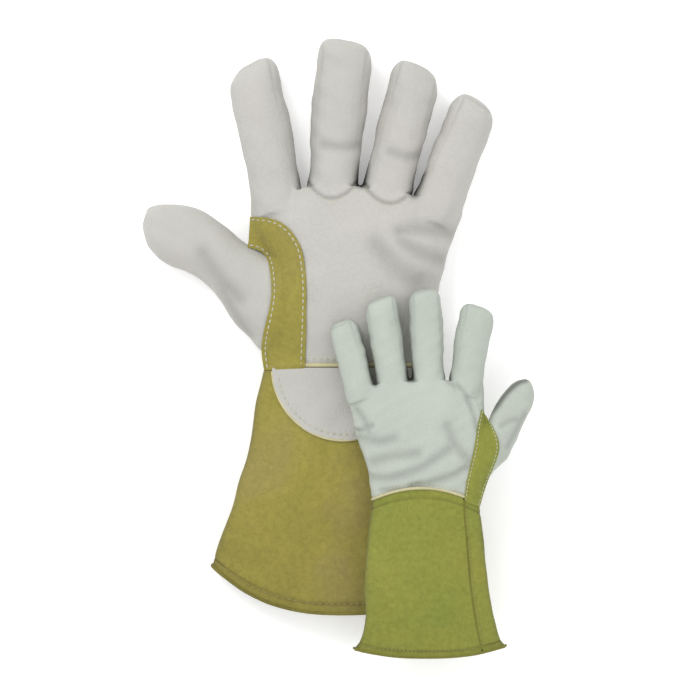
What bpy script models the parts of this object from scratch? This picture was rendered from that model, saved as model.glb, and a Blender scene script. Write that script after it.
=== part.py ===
"""Two leather welding gauntlets lying on a bench, one across the other.

The large glove lies palm up. The small one lies palm down across the large cuff.
Both are left-hand gloves of the same cut: a one-piece back, a palm piece, separate
front pieces for the fingers, side walls (fourchettes) between the fingers, a set-in
thumb with a reinforcing strap, a heel patch and a flared gauntlet cuff.

Every glove is described in its own frame, in millimetres: +Y runs from the wrist seam
to the fingertips, the thumb is on the -X side, z = 0 is what the glove lies on.
"""
import math

import bmesh
import bpy
from mathutils import Vector

MM = 0.001

# Where the wrists lie, so that the pair stands centred on the origin
LARGE_ORIGIN = (4.1, -10.9, 0.0)
SMALL_SCALE = 0.64
SMALL_ORIGIN = (53.3, -86.5, 32.0)

# Walls and seams
LEATHER = 1.7           # thickness of a leather piece
LAYER_GAP = 0.6         # clearance between one layer and the next
LINING = 0.9            # thickness of the lining cloth
SEAM = 0.3              # how far each piece stands back from a seam
FINGER_GAP = 1.2        # from the palm and back pieces to the finger pieces
PATCH = 1.3             # thickness of the reinforcing patches
PATCH_GAP = 1.1         # clearance between a patch and the leather under it
PIPING = 2.0            # width of the cord sewn into the wrist seam
HEM_SHARE = 0.05        # width of the turned hem, as a share of the cuff's length
WELT_PROUD = 0.9        # how far welts, piping and hem stand above the leather

# Cross-section of a glove that lies flat: soft on top, boxy underneath
TOP_EXPONENT = 2.5
BOTTOM_EXPONENT = 4.0
SINK = 0.10             # share of the height that the bench flattens

# Seams between the front, the side walls and the back of a finger, in degrees
FRONT_EDGE = 38
THUMB_HOLE = 24         # half height of the opening to the thumb, in degrees
SEAM_TURN = 0.8         # half gap of a lengthwise seam, in degrees
WELT_SHARE = 0.70       # the cuff's lengthwise seam, as a share of the half width
WELT_TURN = 2.2         # half width of that seam's welt, in degrees
WELT_CLEAR = 2.2        # from the welt to the panels beside it, in degrees
HEEL_HALF_WIDTH = 42.0  # heel patch on the palm side of the cuff
HEEL_DEPTH = 43.0
SLEEVE_SIDES = 20       # flat sides of a piece that goes all the way round

FINGER_STEPS = (0.0, 0.4, 0.72, 0.86, 0.94, 0.985, 1.0)
HAND_STEPS = (0.0, 0.14, 0.3, 0.45, 0.6, 0.7, 0.8, 1.0)
CUFF_STEPS = (0.0, 0.1, 0.3, 0.5, 0.7, 0.85, 1.0)

# Hand and cuff stations: share of the length, thumb-side edge, far edge, height
LARGE_HAND = (
    (0.00, -45, 45, 27),
    (0.20, -44, 53, 29),
    (0.40, -43, 58, 30),
    (0.60, -44, 63, 30),
    (0.70, -49, 65, 30),
    (0.80, -55, 68, 29),
    (1.00, -57, 73, 27),
)
LARGE_CUFF = (
    (0.00, -79, 79, 25),
    (0.18, -71, 71, 25),
    (0.32, -64, 64, 25),
    (0.50, -58, 58, 26),
    (0.75, -54, 54, 26),
    (1.00, -47, 47, 27),
)
SMALL_HAND = (
    (0.00, -49, 49, 27),
    (0.20, -55, 53, 29),
    (0.40, -58, 59, 30),
    (0.60, -58, 67, 30),
    (0.70, -57, 69, 30),
    (0.80, -56, 71, 29),
    (1.00, -55, 77, 27),
)
SMALL_CUFF = (
    (0.00, -74, 62, 25),
    (0.10, -69, 57, 25),
    (0.22, -65, 55, 25),
    (0.45, -59, 54, 26),
    (0.75, -54, 53, 26),
    (1.00, -50, 49, 27),
)
# Thumb stations: x, wrist-side edge, fingertip-side edge
LARGE_THUMB = (
    (47.5, 6, 65),
    (57, 15, 71),
    (65, 21, 76),
    (75, 36, 83),
    (86, 49, 91),
    (96, 55, 95),
    (106, 59, 95.5),
    (115, 65, 94),
    (120, 73, 90),
    (122, 82, 82),
)
SMALL_THUMB = (
    (60, 13, 67),
    (65, 19, 77),
    (72, 27, 88),
    (78, 34, 95),
    (84, 47, 100),
    (90, 62, 103),
    (95, 70, 103),
    (99, 78, 99),
    (101, 89, 89),
)
# Thumb strap: matching points on its thumb-side and hand-side edges
LARGE_STRAP = (
    ((-42.0, 3), (-22.6, 3)),
    ((-41.5, 15), (-22.0, 15)),
    ((-40.5, 28), (-22.0, 28)),
    ((-40.5, 42), (-21.6, 44)),
    ((-41.5, 54), (-22.6, 59)),
    ((-44.0, 64), (-26.5, 73)),
    ((-47.5, 71), (-35.5, 82)),
    ((-51.0, 76), (-50.0, 87)),
)
SMALL_STRAP = (
    ((-46.5, -5), (-34.0, -1)),
    ((-50.5, 9), (-37.0, 11)),
    ((-54.8, 25), (-41.5, 26)),
    ((-56.4, 40), (-45.5, 42)),
    ((-55.5, 54), (-47.5, 57)),
    ((-53.8, 68), (-51.5, 72)),
)

FINGER_NAMES = ("index", "middle", "ring", "little")
# Fingers: root x, lean from +Y in degrees, length, root width, tip width, height
LARGE_FINGERS = (
    (-41.0, -10.0, 80, 32.0, 28.5, 24),
    (-6.6, 5.2, 88, 30.0, 32.0, 25),
    (26.0, 14.2, 79, 30.0, 29.5, 24),
    (57.5, 20.5, 69, 29.5, 27.5, 22),
)
SMALL_FINGERS = (
    (-38.0, -8.0, 71, 32.0, 31.0, 24),
    (-3.0, 2.0, 84, 31.5, 29.5, 25),
    (30.0, 8.4, 80, 31.0, 30.0, 24),
    (62.5, 14.0, 63, 28.0, 26.0, 22),
)

OFF_WHITE = (0.55, 0.54, 0.50)
COOL_WHITE = (0.52, 0.57, 0.51)
OLIVE = (0.32, 0.28, 0.08)
DARK_OLIVE = (0.20, 0.18, 0.06)
CREAM = (0.63, 0.58, 0.35)
LINING_CLOTH = (0.62, 0.60, 0.54)
ELASTIC_WHITE = (0.70, 0.70, 0.68)


class Cut:
    """The pattern of one glove: its stations, its end curves and its place."""

    def __init__(self, name, scale, mirror, origin, palm_up):
        self.name = name
        self.scale = scale
        self.mirror = mirror
        self.origin = Vector(origin)
        self.palm_up = palm_up

    def world(self, point):
        """Metres in the shared frame for a point in this glove's millimetres."""
        across = -point[0] if self.mirror else point[0]
        local = Vector((across, point[1], point[2])) * self.scale
        return (self.origin + local) * MM

    def hinge_axis(self, forward):
        """Level axis about which a positive turn lifts what points forward."""
        across = -forward.x if self.mirror else forward.x
        return Vector((forward.y, -across, 0.0))


# ---------------------------------------------------------------- interpolation

def blend(first, second, share):
    return first + (second - first) * share


def slope_at(table, index, column):
    low = max(index - 1, 0)
    high = min(index + 1, len(table) - 1)
    return (table[high][column] - table[low][column]) / (table[high][0] - table[low][0])


def lookup(table, key, column):
    """Smooth curve through one column of a table whose first column rises."""
    index = 0
    while index < len(table) - 2 and key > table[index + 1][0]:
        index += 1
    step = table[index + 1][0] - table[index][0]
    share = min(max((key - table[index][0]) / step, 0.0), 1.0)
    start = table[index][column]
    end = table[index + 1][column]
    leave = slope_at(table, index, column) * step
    arrive = slope_at(table, index + 1, column) * step
    square = share * share
    cube = square * share
    return (start * (2 * cube - 3 * square + 1) + leave * (cube - 2 * square + share)
            + end * (3 * square - 2 * cube) + arrive * (cube - square))


def section(angle):
    """Unit outline of a tube that lies flat, by angle in degrees from its far side."""
    turn = math.radians(angle)
    exponent = TOP_EXPONENT if math.sin(turn) >= 0 else BOTTOM_EXPONENT
    power = 2.0 / exponent
    across = math.copysign(abs(math.cos(turn)) ** power, math.cos(turn))
    up = math.copysign(abs(math.sin(turn)) ** power, math.sin(turn))
    return across, up


def level(height):
    """Mid height and half height of a tube whose underside the bench flattens."""
    half = height * (1 + SINK) / 2
    return height - half, half


def on_bench(z, inset):
    return max(z, inset, 0.0)


# ---------------------------------------------------------------- tubes

class SpanTube:
    """The hand or the cuff: a flat tube between two end curves y(x)."""

    def __init__(self, stations, start_curve, end_curve):
        self.stations = stations
        self.start_curve = start_curve
        self.end_curve = end_curve

    def size(self, along):
        low = lookup(self.stations, along, 1)
        high = lookup(self.stations, along, 2)
        return (low + high) / 2, (high - low) / 2, lookup(self.stations, along, 3)

    def point(self, along, angle, inset=0.0, shift=(0.0, 0.0)):
        centre, half, height = self.size(along)
        middle, rise = level(height)
        across, up = section(angle)
        x = centre + (half - inset) * across + shift[0]
        y = blend(self.start_curve(x), self.end_curve(x), along)
        return Vector((x, y, on_bench(middle + (rise - inset) * up + shift[1], inset)))

    def face(self, x, y, up):
        """Height of the upper or lower face at a point in plan."""
        start = self.start_curve(x)
        along = (y - start) / (self.end_curve(x) - start)
        centre, half, height = self.size(along)
        middle, rise = level(height)
        exponent = TOP_EXPONENT if up else BOTTOM_EXPONENT
        reach = min(abs(x - centre) / half, 0.999)
        bulge = rise * (1 - reach ** exponent) ** (1 / exponent)
        return middle + bulge if up else max(middle - bulge, 0.0)


class FingerTube:
    """A finger: a straight tube with a blunt round tip, leaning from +Y."""

    def __init__(self, cut, root_x, lean, length, width, tip_width, height):
        self.turn = math.radians(lean)
        self.forward = Vector((math.sin(self.turn), math.cos(self.turn)))
        self.side = Vector((self.forward.y, -self.forward.x))
        self.root = Vector((root_x, cut.knuckles(root_x) + FINGER_GAP))
        rise = (cut.knuckles(root_x + 1) - cut.knuckles(root_x - 1)) / 2
        self.skew = ((self.side.y - self.side.x * rise)
                     / (self.forward.x * rise - self.forward.y))
        self.length = length
        self.widths = (width / 2, tip_width / 2)
        self.height = height

    def point(self, along, angle, inset=0.0, shift=(0.0, 0.0)):
        middle, rise = level(self.height)
        across, up = section(angle)
        tip = tip_roundness(along, self.length, self.widths[1])
        half = (blend(self.widths[0], self.widths[1], along) - inset) * tip
        aside = half * across + shift[0]
        forward = along * (self.length - inset) + (1 - along) * self.skew * aside
        place = self.root + self.forward * forward + self.side * aside
        z = middle + (rise - inset) * tip * up + shift[1]
        return Vector((place.x, place.y, on_bench(z, inset)))


class ThumbTube:
    """The thumb: a curved tube that leaves the hand sideways."""

    def __init__(self, stations, height):
        self.stations = stations
        self.height = height

    def point(self, along, angle, inset=0.0, shift=(0.0, 0.0)):
        root = self.stations[0][0]
        reach = self.stations[-1][0]
        key = blend(root, reach, along)
        low = lookup(self.stations, key, 1)
        high = lookup(self.stations, key, 2)
        tip = tip_roundness(along, reach - root, 12)
        middle, rise = level(self.height)
        across, up = section(angle)
        half = max((high - low) / 2 - inset * tip, 0.0)
        y = (low + high) / 2 + half * across + shift[0]
        x = -blend(root, reach - inset, along)
        z = middle + (rise - inset) * tip * up + shift[1]
        return Vector((x, y, on_bench(z, inset)))


def tip_roundness(along, length, radius):
    """1 along the tube, falling to 0 at its tip like a blunt half circle."""
    start = 1 - radius * 0.95 / length
    if along <= start:
        return 1.0
    share = (along - start) / (1 - start)
    return max(1 - share ** 2.3, 0.0) ** (1 / 2.3)


# ---------------------------------------------------------------- solids

def solid_between(cut, outer, inner, pivot, wrap=False):
    """One closed solid between two matching grids of points."""
    mesh = bmesh.new()
    grids = [[[mesh.verts.new(cut.world(p) - pivot) for p in row] for row in grid]
             for grid in (outer, inner)]
    rows = len(outer)
    columns = len(outer[0])
    spans = [(c, (c + 1) % columns) for c in range(columns if wrap else columns - 1)]
    for grid in grids:
        for r in range(rows - 1):
            for a, b in spans:
                mesh.faces.new((grid[r][a], grid[r][b], grid[r + 1][b], grid[r + 1][a]))
    for r in (0, rows - 1):
        for a, b in spans:
            mesh.faces.new((grids[0][r][a], grids[0][r][b], grids[1][r][b], grids[1][r][a]))
    if not wrap:
        for c in (0, columns - 1):
            for r in range(rows - 1):
                mesh.faces.new((grids[0][r][c], grids[0][r + 1][c],
                                grids[1][r + 1][c], grids[1][r][c]))
    bmesh.ops.remove_doubles(mesh, verts=mesh.verts, dist=1e-6)
    bmesh.ops.recalc_face_normals(mesh, faces=mesh.faces)
    return mesh


def spread(first, last, count):
    return [blend(first, last, i / count) for i in range(count + 1)]


def turns_between(first, last):
    """Angles from first to last that share a whole sleeve's stations in between."""
    step = 360 / SLEEVE_SIDES
    inner = [i * step for i in range(2 * SLEEVE_SIDES) if first + 3 < i * step < last - 3]
    return [first, *inner, last]


def panel(cut, pivot, tube, steps, angles, outer=0.0, thickness=LEATHER, shift=(0, 0)):
    """A curved leather piece on a tube; angles(along) lists its angles at a station."""
    skins = []
    for inset in (outer, outer + thickness):
        skins.append([[tube.point(along, angle, inset, shift) for angle in angles(along)]
                      for along in steps])
    return solid_between(cut, skins[0], skins[1], pivot)


def sleeve(cut, pivot, tube, steps, outer, thickness):
    """A piece that goes all the way round a tube."""
    turns = [360 * i / SLEEVE_SIDES for i in range(SLEEVE_SIDES)]
    skins = [[[tube.point(along, turn, inset) for turn in turns] for along in steps]
             for inset in (outer, outer + thickness)]
    return solid_between(cut, skins[0], skins[1], pivot, wrap=True)


def patch(cut, pivot, tube, rows, up):
    """A flat piece laid on a tube's upper or lower face; rows are lists of plan points."""
    skins = []
    side = 1 if up else -1
    for rise in (PATCH_GAP + PATCH, PATCH_GAP):
        skins.append([[Vector((x, y, tube.face(x, y, up) + side * rise)) for x, y in row]
                      for row in rows])
    return solid_between(cut, skins[0], skins[1], pivot)


def material(name, colour, roughness):
    surface = bpy.data.materials.new(name)
    surface.use_nodes = True
    shader = surface.node_tree.nodes["Principled BSDF"]
    shader.inputs["Base Color"].default_value = (*colour, 1.0)
    shader.inputs["Roughness"].default_value = roughness
    shader.inputs["Metallic"].default_value = 0.0
    surface.diffuse_color = (*colour, 1.0)
    return surface


def add_piece(name, mesh, pivot, parent, colour, roughness=0.75):
    """Turn a mesh into a named object whose origin lies on its joint."""
    data = bpy.data.meshes.new(name)
    mesh.to_mesh(data)
    mesh.free()
    data.shade_smooth()
    data.set_sharp_from_angle(angle=math.radians(50))
    data.materials.append(material(name, colour, roughness))
    piece = bpy.data.objects.new(name, data)
    bpy.context.scene.collection.objects.link(piece)
    piece.parent = parent
    piece.location = pivot - pivot_of(parent)
    return piece


def pivot_of(empty):
    return Vector(empty["pivot"]) if empty else Vector((0, 0, 0))


def add_pivot(name, place, parent):
    """An empty that carries the pieces of one moving part."""
    empty = bpy.data.objects.new(name, None)
    empty.empty_display_size = 0.01
    empty["pivot"] = list(place)
    bpy.context.scene.collection.objects.link(empty)
    empty.parent = parent
    empty.location = place - pivot_of(parent)
    return empty


# ---------------------------------------------------------------- one glove

def facing_turns(up, trim_far, trim_thumb):
    """First and last angle of the upper or lower half of a tube."""
    if up:
        return trim_far, 180 - trim_thumb
    return 180 + trim_thumb, 360 - trim_far


def turn_at(share, up):
    """Angle, from the thumb-side edge, of a point at a share of the half width."""
    exponent = TOP_EXPONENT if up else BOTTOM_EXPONENT
    turn = math.degrees(math.acos(share ** (exponent / 2)))
    return 180 - turn if up else 180 + turn


def thumb_hole(along):
    """Half angle left open on the thumb side: a slot with tapered ends."""
    open_share = min(along / HAND_STEPS[1], (HAND_STEPS[5] - along) / 0.1, 1.0)
    return blend(SEAM_TURN, THUMB_HOLE, max(open_share, 0.0))


def build_hand(cut, tube, root, leather):
    """Palm, back, lining, elastic and the reinforcing strap."""
    origin = Vector((0, 0, 0))
    for face, up in (("palm", cut.palm_up), ("back", not cut.palm_up)):
        def angles(along, up=up):
            return spread(*facing_turns(up, SEAM_TURN, thumb_hole(along)), 10)
        mesh = panel(cut, origin, tube, HAND_STEPS, angles)
        add_piece(f"{cut.name}_{face}_panel", mesh, origin, root, leather)

    elastic_inset = LEATHER + LAYER_GAP
    def elastic_angles(along):
        ends = facing_turns(not cut.palm_up, SEAM_TURN, thumb_hole(along))
        return spread(*ends, 10)[2:-2]
    mesh = panel(cut, origin, tube, (0.03, 0.10), elastic_angles, elastic_inset, LINING)
    add_piece(f"{cut.name}_wrist_elastic", mesh, origin, root, ELASTIC_WHITE)

    def lining_angles(along):
        hole = thumb_hole(along)
        below = spread(180 + hole, 360 - SEAM_TURN, 10)
        return below + spread(360 + SEAM_TURN, 540 - hole, 10)
    lining_inset = elastic_inset + LINING + LAYER_GAP
    mesh = panel(cut, origin, tube, HAND_STEPS, lining_angles, lining_inset, LINING)
    add_piece(f"{cut.name}_hand_lining", mesh, origin, root, LINING_CLOTH, 0.9)

    rows = [[(blend(a[0], b[0], s), blend(a[1], b[1], s)) for s in spread(0, 1, 4)]
            for a, b in cut.strap]
    mesh = patch(cut, origin, tube, rows, True)
    add_piece(f"{cut.name}_thumb_strap", mesh, origin, root, OLIVE)


def build_cuff(cut, tube, root, leather):
    """The gauntlet cuff: two panels, welt, hem, lining and the heel patch."""
    origin = Vector((0, 0, 0))
    back_up = not cut.palm_up
    welt = turn_at(WELT_SHARE, back_up)
    steps = (HEM_SHARE + 0.006,) + CUFF_STEPS[1:]
    gap = WELT_TURN + WELT_CLEAR
    faces = ("back", "palm") if back_up else ("palm", "back")
    ranges = ((SEAM_TURN, welt - gap), (welt + gap, 360 - SEAM_TURN))
    for face, (first, last) in zip(faces, ranges):
        turns = turns_between(first, last)
        mesh = panel(cut, origin, tube, steps, lambda along: turns)
        add_piece(f"{cut.name}_cuff_{face}_panel", mesh, origin, root, OLIVE)

    welt_turns = spread(welt - WELT_TURN, welt + WELT_TURN, 2)
    mesh = panel(cut, origin, tube, steps, lambda along: welt_turns,
                 -WELT_PROUD, LEATHER + WELT_PROUD)
    add_piece(f"{cut.name}_cuff_seam_welt", mesh, origin, root, DARK_OLIVE)

    mesh = sleeve(cut, origin, tube, (0.0, HEM_SHARE / 2, HEM_SHARE), -WELT_PROUD,
                  LEATHER + 2 * WELT_PROUD)
    add_piece(f"{cut.name}_cuff_hem", mesh, origin, root, DARK_OLIVE)

    mesh = sleeve(cut, origin, tube, steps, LEATHER + LAYER_GAP + WELT_PROUD, LINING)
    add_piece(f"{cut.name}_cuff_lining", mesh, origin, root, LINING_CLOTH, 0.9)

    rows = []
    for share in (0.0, 0.25, 0.5, 0.7, 0.86, 0.96, 1.0):
        half = HEEL_HALF_WIDTH * math.sqrt(1 - share * share)
        depth = PIPING + HEEL_DEPTH * share
        rows.append([(half * s, cut.wrist(half * s) - depth) for s in spread(-1, 1, 8)])
    mesh = patch(cut, origin, tube, rows, cut.palm_up)
    add_piece(f"{cut.name}_heel_patch", mesh, origin, root, leather)


def build_piping(cut, root):
    """The cord sewn into the wrist seam, all the way round."""
    first = cut.hand[0]
    stations = ((0.0, *first[1:]), (1.0, *first[1:]))
    tube = SpanTube(stations, lambda x: cut.wrist(x) - PIPING / 2,
                    lambda x: cut.wrist(x) + PIPING / 2)
    origin = Vector((0, 0, 0))
    mesh = sleeve(cut, origin, tube, (0.0, 0.5, 1.0), -WELT_PROUD, 2 * LEATHER)
    add_piece(f"{cut.name}_wrist_piping", mesh, origin, root, CREAM)


def build_finger(cut, index, root, leather):
    """Front, back and side walls of one finger, on a hinge at its root."""
    name = f"{cut.name}_{FINGER_NAMES[index]}"
    tube = FingerTube(cut, *cut.fingers[index])
    hinge = cut.world((tube.root.x, tube.root.y, tube.height + LAYER_GAP))
    pivot = add_pivot(f"{name}_hinge", hinge, root)
    pivot["axis"] = list(cut.hinge_axis(tube.forward))
    wall_far = index < 3
    wall_thumb = index > 0
    for face, up in (("front", cut.palm_up), ("back", not cut.palm_up)):
        ends = facing_turns(up, FRONT_EDGE * wall_far, FRONT_EDGE * wall_thumb)
        turns = spread(*ends, 5)
        mesh = panel(cut, hinge, tube, FINGER_STEPS, lambda along: turns,
                     shift=(0, SEAM if up else -SEAM))
        add_piece(f"{name}_{face}", mesh, hinge, pivot, leather)
    for used, middle, side, word in ((wall_far, 0, 1, "outer"), (wall_thumb, 180, -1, "inner")):
        if used:
            turns = spread(middle - FRONT_EDGE, middle + FRONT_EDGE, 4)
            mesh = panel(cut, hinge, tube, FINGER_STEPS, lambda along: turns,
                         shift=(SEAM * side, 0))
            add_piece(f"{name}_{word}_fourchette", mesh, hinge, pivot, leather)


def build_thumb(cut, root, leather):
    """Front and back of the thumb, on a hinge along its root."""
    tube = ThumbTube(cut.thumb, cut.thumb_height)
    first = cut.thumb[0]
    middle = (first[1] + first[2]) / 2
    hinge = cut.world((-first[0], middle, cut.thumb_height + LAYER_GAP))
    pivot = add_pivot(f"{cut.name}_thumb_hinge", hinge, root)
    pivot["axis"] = list(cut.hinge_axis(Vector((-1, 0))))
    steps = (0.0, 0.15, 0.3, 0.5, 0.68, 0.82, 0.92, 0.98, 1.0)
    for face, up in (("front", cut.palm_up), ("back", not cut.palm_up)):
        turns = spread(*facing_turns(up, 0, 0), 7)
        mesh = panel(cut, hinge, tube, steps, lambda along: turns,
                     shift=(0, SEAM if up else -SEAM))
        add_piece(f"{cut.name}_thumb_{face}", mesh, hinge, pivot, leather)


def build_glove(cut, leather, parent=None):
    """All the pieces of one glove."""
    hand = SpanTube(cut.hand, lambda x: cut.wrist(x) + PIPING * 0.8, cut.knuckles)
    cuff = SpanTube(cut.cuff, cut.hem, lambda x: cut.wrist(x) - PIPING * 0.8)
    build_hand(cut, hand, parent, leather)
    build_cuff(cut, cuff, parent, leather)
    build_piping(cut, parent)
    for index in range(len(FINGER_NAMES)):
        build_finger(cut, index, parent, leather)
    build_thumb(cut, parent, leather)


def clear_scene():
    for old in list(bpy.data.objects):
        bpy.data.objects.remove(old, do_unlink=True)


def large_cut():
    cut = Cut("large", 1.0, False, LARGE_ORIGIN, True)
    cut.hand, cut.cuff, cut.thumb = LARGE_HAND, LARGE_CUFF, LARGE_THUMB
    cut.fingers, cut.strap, cut.thumb_height = LARGE_FINGERS, LARGE_STRAP, 25
    cut.wrist = lambda x: 0.0
    cut.knuckles = lambda x: 107 - 0.0030 * (x + 6) ** 2
    cut.hem = lambda x: -150 + 28 * (abs(x) / 79) ** 2.5
    return cut


def small_cut():
    cut = Cut("small", SMALL_SCALE, True, SMALL_ORIGIN, False)
    cut.hand, cut.cuff, cut.thumb = SMALL_HAND, SMALL_CUFF, SMALL_THUMB
    cut.fingers, cut.strap, cut.thumb_height = SMALL_FINGERS, SMALL_STRAP, 25
    cut.wrist = lambda x: 5 - 0.0040 * (x + 8) ** 2
    cut.knuckles = lambda x: 103 - 0.0016 * (x + 6) ** 2
    cut.hem = lambda x: -154 + 9 * (abs(x) / 70) ** 2.5
    return cut


def main():
    clear_scene()
    build_glove(large_cut(), OFF_WHITE)
    small = small_cut()
    lift = add_pivot("small_glove_lift", small.origin * MM, None)
    build_glove(small, COOL_WHITE, lift)


main()
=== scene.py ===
import math

import bmesh
import bpy
import numpy as np
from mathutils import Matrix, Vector
from mathutils.bvhtree import BVHTree
from mathutils.kdtree import KDTree


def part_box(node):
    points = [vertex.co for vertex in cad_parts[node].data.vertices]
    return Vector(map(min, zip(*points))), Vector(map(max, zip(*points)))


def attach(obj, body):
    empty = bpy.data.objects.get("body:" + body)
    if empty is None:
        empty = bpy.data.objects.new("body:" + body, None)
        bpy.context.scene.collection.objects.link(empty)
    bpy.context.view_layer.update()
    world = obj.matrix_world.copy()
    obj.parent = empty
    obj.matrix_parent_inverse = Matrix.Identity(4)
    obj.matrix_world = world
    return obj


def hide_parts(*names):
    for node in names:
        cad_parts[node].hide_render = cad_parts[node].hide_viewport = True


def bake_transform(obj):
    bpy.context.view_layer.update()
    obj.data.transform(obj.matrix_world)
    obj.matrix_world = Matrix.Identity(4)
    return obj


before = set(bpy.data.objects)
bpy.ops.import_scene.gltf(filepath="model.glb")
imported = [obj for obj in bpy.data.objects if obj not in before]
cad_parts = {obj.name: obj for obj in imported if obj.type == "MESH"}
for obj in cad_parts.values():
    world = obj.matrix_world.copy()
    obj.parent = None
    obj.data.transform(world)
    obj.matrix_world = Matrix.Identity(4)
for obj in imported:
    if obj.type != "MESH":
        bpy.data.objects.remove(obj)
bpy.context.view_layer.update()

bl_info = {
    "name": "Welding gauntlets",
    "version": (1, 0, 0),
    "blender": (4, 5, 0),
    "location": "3D View > Sidebar > Gauntlets",
    "description": "Two leather welding gauntlets with stitched seams and olive cuffs",
    "category": "Add Mesh",
}

MM = 0.001
FINGERS = ("index", "middle", "ring", "little")

# ------------------------------------------------------------------ the cut of each glove
# Lengths in this part are the large glove's millimetres, in a frame whose +Y runs from
# the wrist seam to the fingertips, with the thumb on the -X side.

TOP_CURVE = 2.5         # exponent of the section's upper half: soft
BOTTOM_CURVE = 4.0      # exponent of its lower half: pressed flat by what it lies on
SINK = 0.10             # share of the height that is pressed flat
WRIST_PROUD = 1.8       # how much wider the wrist welt is than the hand

# Hand and cuff: share of the length, thumb-side edge, far edge, height
LARGE_HAND = (
    (0.00, -45, 45, 27), (0.20, -44, 53, 29), (0.40, -43, 58, 30), (0.60, -44, 63, 30),
    (0.70, -49, 65, 29.5), (0.80, -55, 68, 28), (1.00, -57, 73, 25),
)
LARGE_CUFF = (
    (0.00, -79.5, 79, 25), (0.17, -74.3, 73, 25), (0.33, -68, 67, 25),
    (0.46, -63.5, 62.5, 26), (0.66, -55.5, 56, 26), (0.88, -51.5, 51.5, 26),
    (1.00, -47, 47, 27),
)
SMALL_HAND = (
    (0.00, -49, 49, 27), (0.20, -55, 53, 29), (0.40, -58, 59, 30), (0.60, -58, 67, 30),
    (0.70, -57, 69, 29.5), (0.80, -56, 71, 28), (1.00, -55, 77, 25),
)
SMALL_CUFF = (
    (0.00, -74, 66, 25), (0.10, -69, 60, 25), (0.22, -65, 57, 25), (0.45, -59, 57, 26),
    (0.75, -54, 54, 26), (1.00, -50, 49, 27),
)
# Thumb: reach from the wrist's middle, wrist-side edge, fingertip-side edge
LARGE_THUMB = (
    (36, 6, 60), (47.5, 7, 66), (57, 15, 71), (65, 21, 76), (75, 36, 83), (86, 49, 91),
    (96, 55, 95), (106, 59, 95.5), (115, 65, 94), (120, 73, 90), (122, 82, 82),
)
SMALL_THUMB = (
    (44, 8, 58), (52, 8, 62), (60, 12, 67), (65, 17, 77), (72, 24, 88), (78, 30, 95),
    (85, 44, 101), (92, 61, 104), (97, 70, 104), (101, 78, 100), (103.5, 89, 89),
)
# Fingers: root x, lean in degrees, length, root width, tip width, height, tip slant
LARGE_FINGERS = (
    (-41.0, -11.8, 80, 33.0, 31.0, 24, 5.2), (-6.6, 5.2, 90, 31.0, 33.5, 25, -2.0),
    (26.0, 15.4, 80, 30.5, 30.5, 24, -4.0), (57.5, 22.6, 68, 31.0, 29.0, 22, -3.6),
)
SMALL_FINGERS = (
    (-38.0, -10.6, 73, 33.0, 32.0, 24, 2.6), (-3.0, 2.0, 86, 31.8, 30.0, 25, -2.4),
    (30.0, 9.8, 81, 31.4, 31.5, 24, -4.2), (62.5, 16.4, 64, 30.0, 27.5, 22, -2.0),
)
# Strap beside the thumb: matching points on its thumb-side and hand-side edges
LARGE_STRAP = (
    ((-47.5, -3.0), (-22.8, -2.0)), ((-49.5, 9), (-22.4, 9)), ((-47.5, 20), (-22.0, 20)),
    ((-44.5, 31), (-22.0, 31)),
    ((-42.5, 42), (-21.8, 44)), ((-43.2, 54), (-22.5, 59)), ((-45.0, 64), (-25.5, 73)),
    ((-49.5, 68.5), (-34.0, 84)), ((-54.0, 70.0), (-43.0, 88)), ((-57.0, 70.4), (-55.8, 89.0)),
)
SMALL_STRAP = (
    ((-50.0, -14.0), (-35.4, -7.8)), ((-56.5, 8), (-37.5, 10)), ((-64.0, 26), (-41.5, 27)),
    ((-69.0, 42), (-45.5, 44)), ((-64.5, 56), (-47.5, 60)), ((-58.0, 68), (-52.0, 77)),
)

MIDDLE = 13.0           # height of the middle of a lying glove
ROOT_GAP = 1.2          # how far past the knuckle line a finger starts
GLOVE_GAP = 0.0006      # metres kept free between the large glove and the small one on it
FINGER_BEND = (2.5, 24)     # where a finger's bend would start and end, past its root; no bend is made
THUMB_BEND = (0.5, 24)      # the same past the thumb's edge
HEM_SEAM = 7.2          # seam above the hem
WRIST_FOLD = 8.5        # pressed line below the small glove's wrist seam
HEEL_WIDTH = 85.0
HEEL_DEPTH = 43.5
PATCH_FLOOR = 17.0      # lowest that a patch on top may lie where it reaches over an edge
STITCH_LIFT = 0.2       # height of the middle of a stitch above the leather
STITCH_RINGS = ((-0.5, 0.0), (-0.44, 0.7), (-0.2, 1.0), (0.2, 1.0), (0.44, 0.7), (0.5, 0.0))
# The shadowed side of the small glove's thumb
THUMB_SHADE = ((-59, 73), (-66, 79.5), (-72.5, 89), (-79, 97), (-86, 102), (-93, 104))
# How far the shadow between two fingers runs forward from where they meet
WEB_REACH = {"large": (9, 12, 14), "small": (4, 26, 28)}
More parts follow.
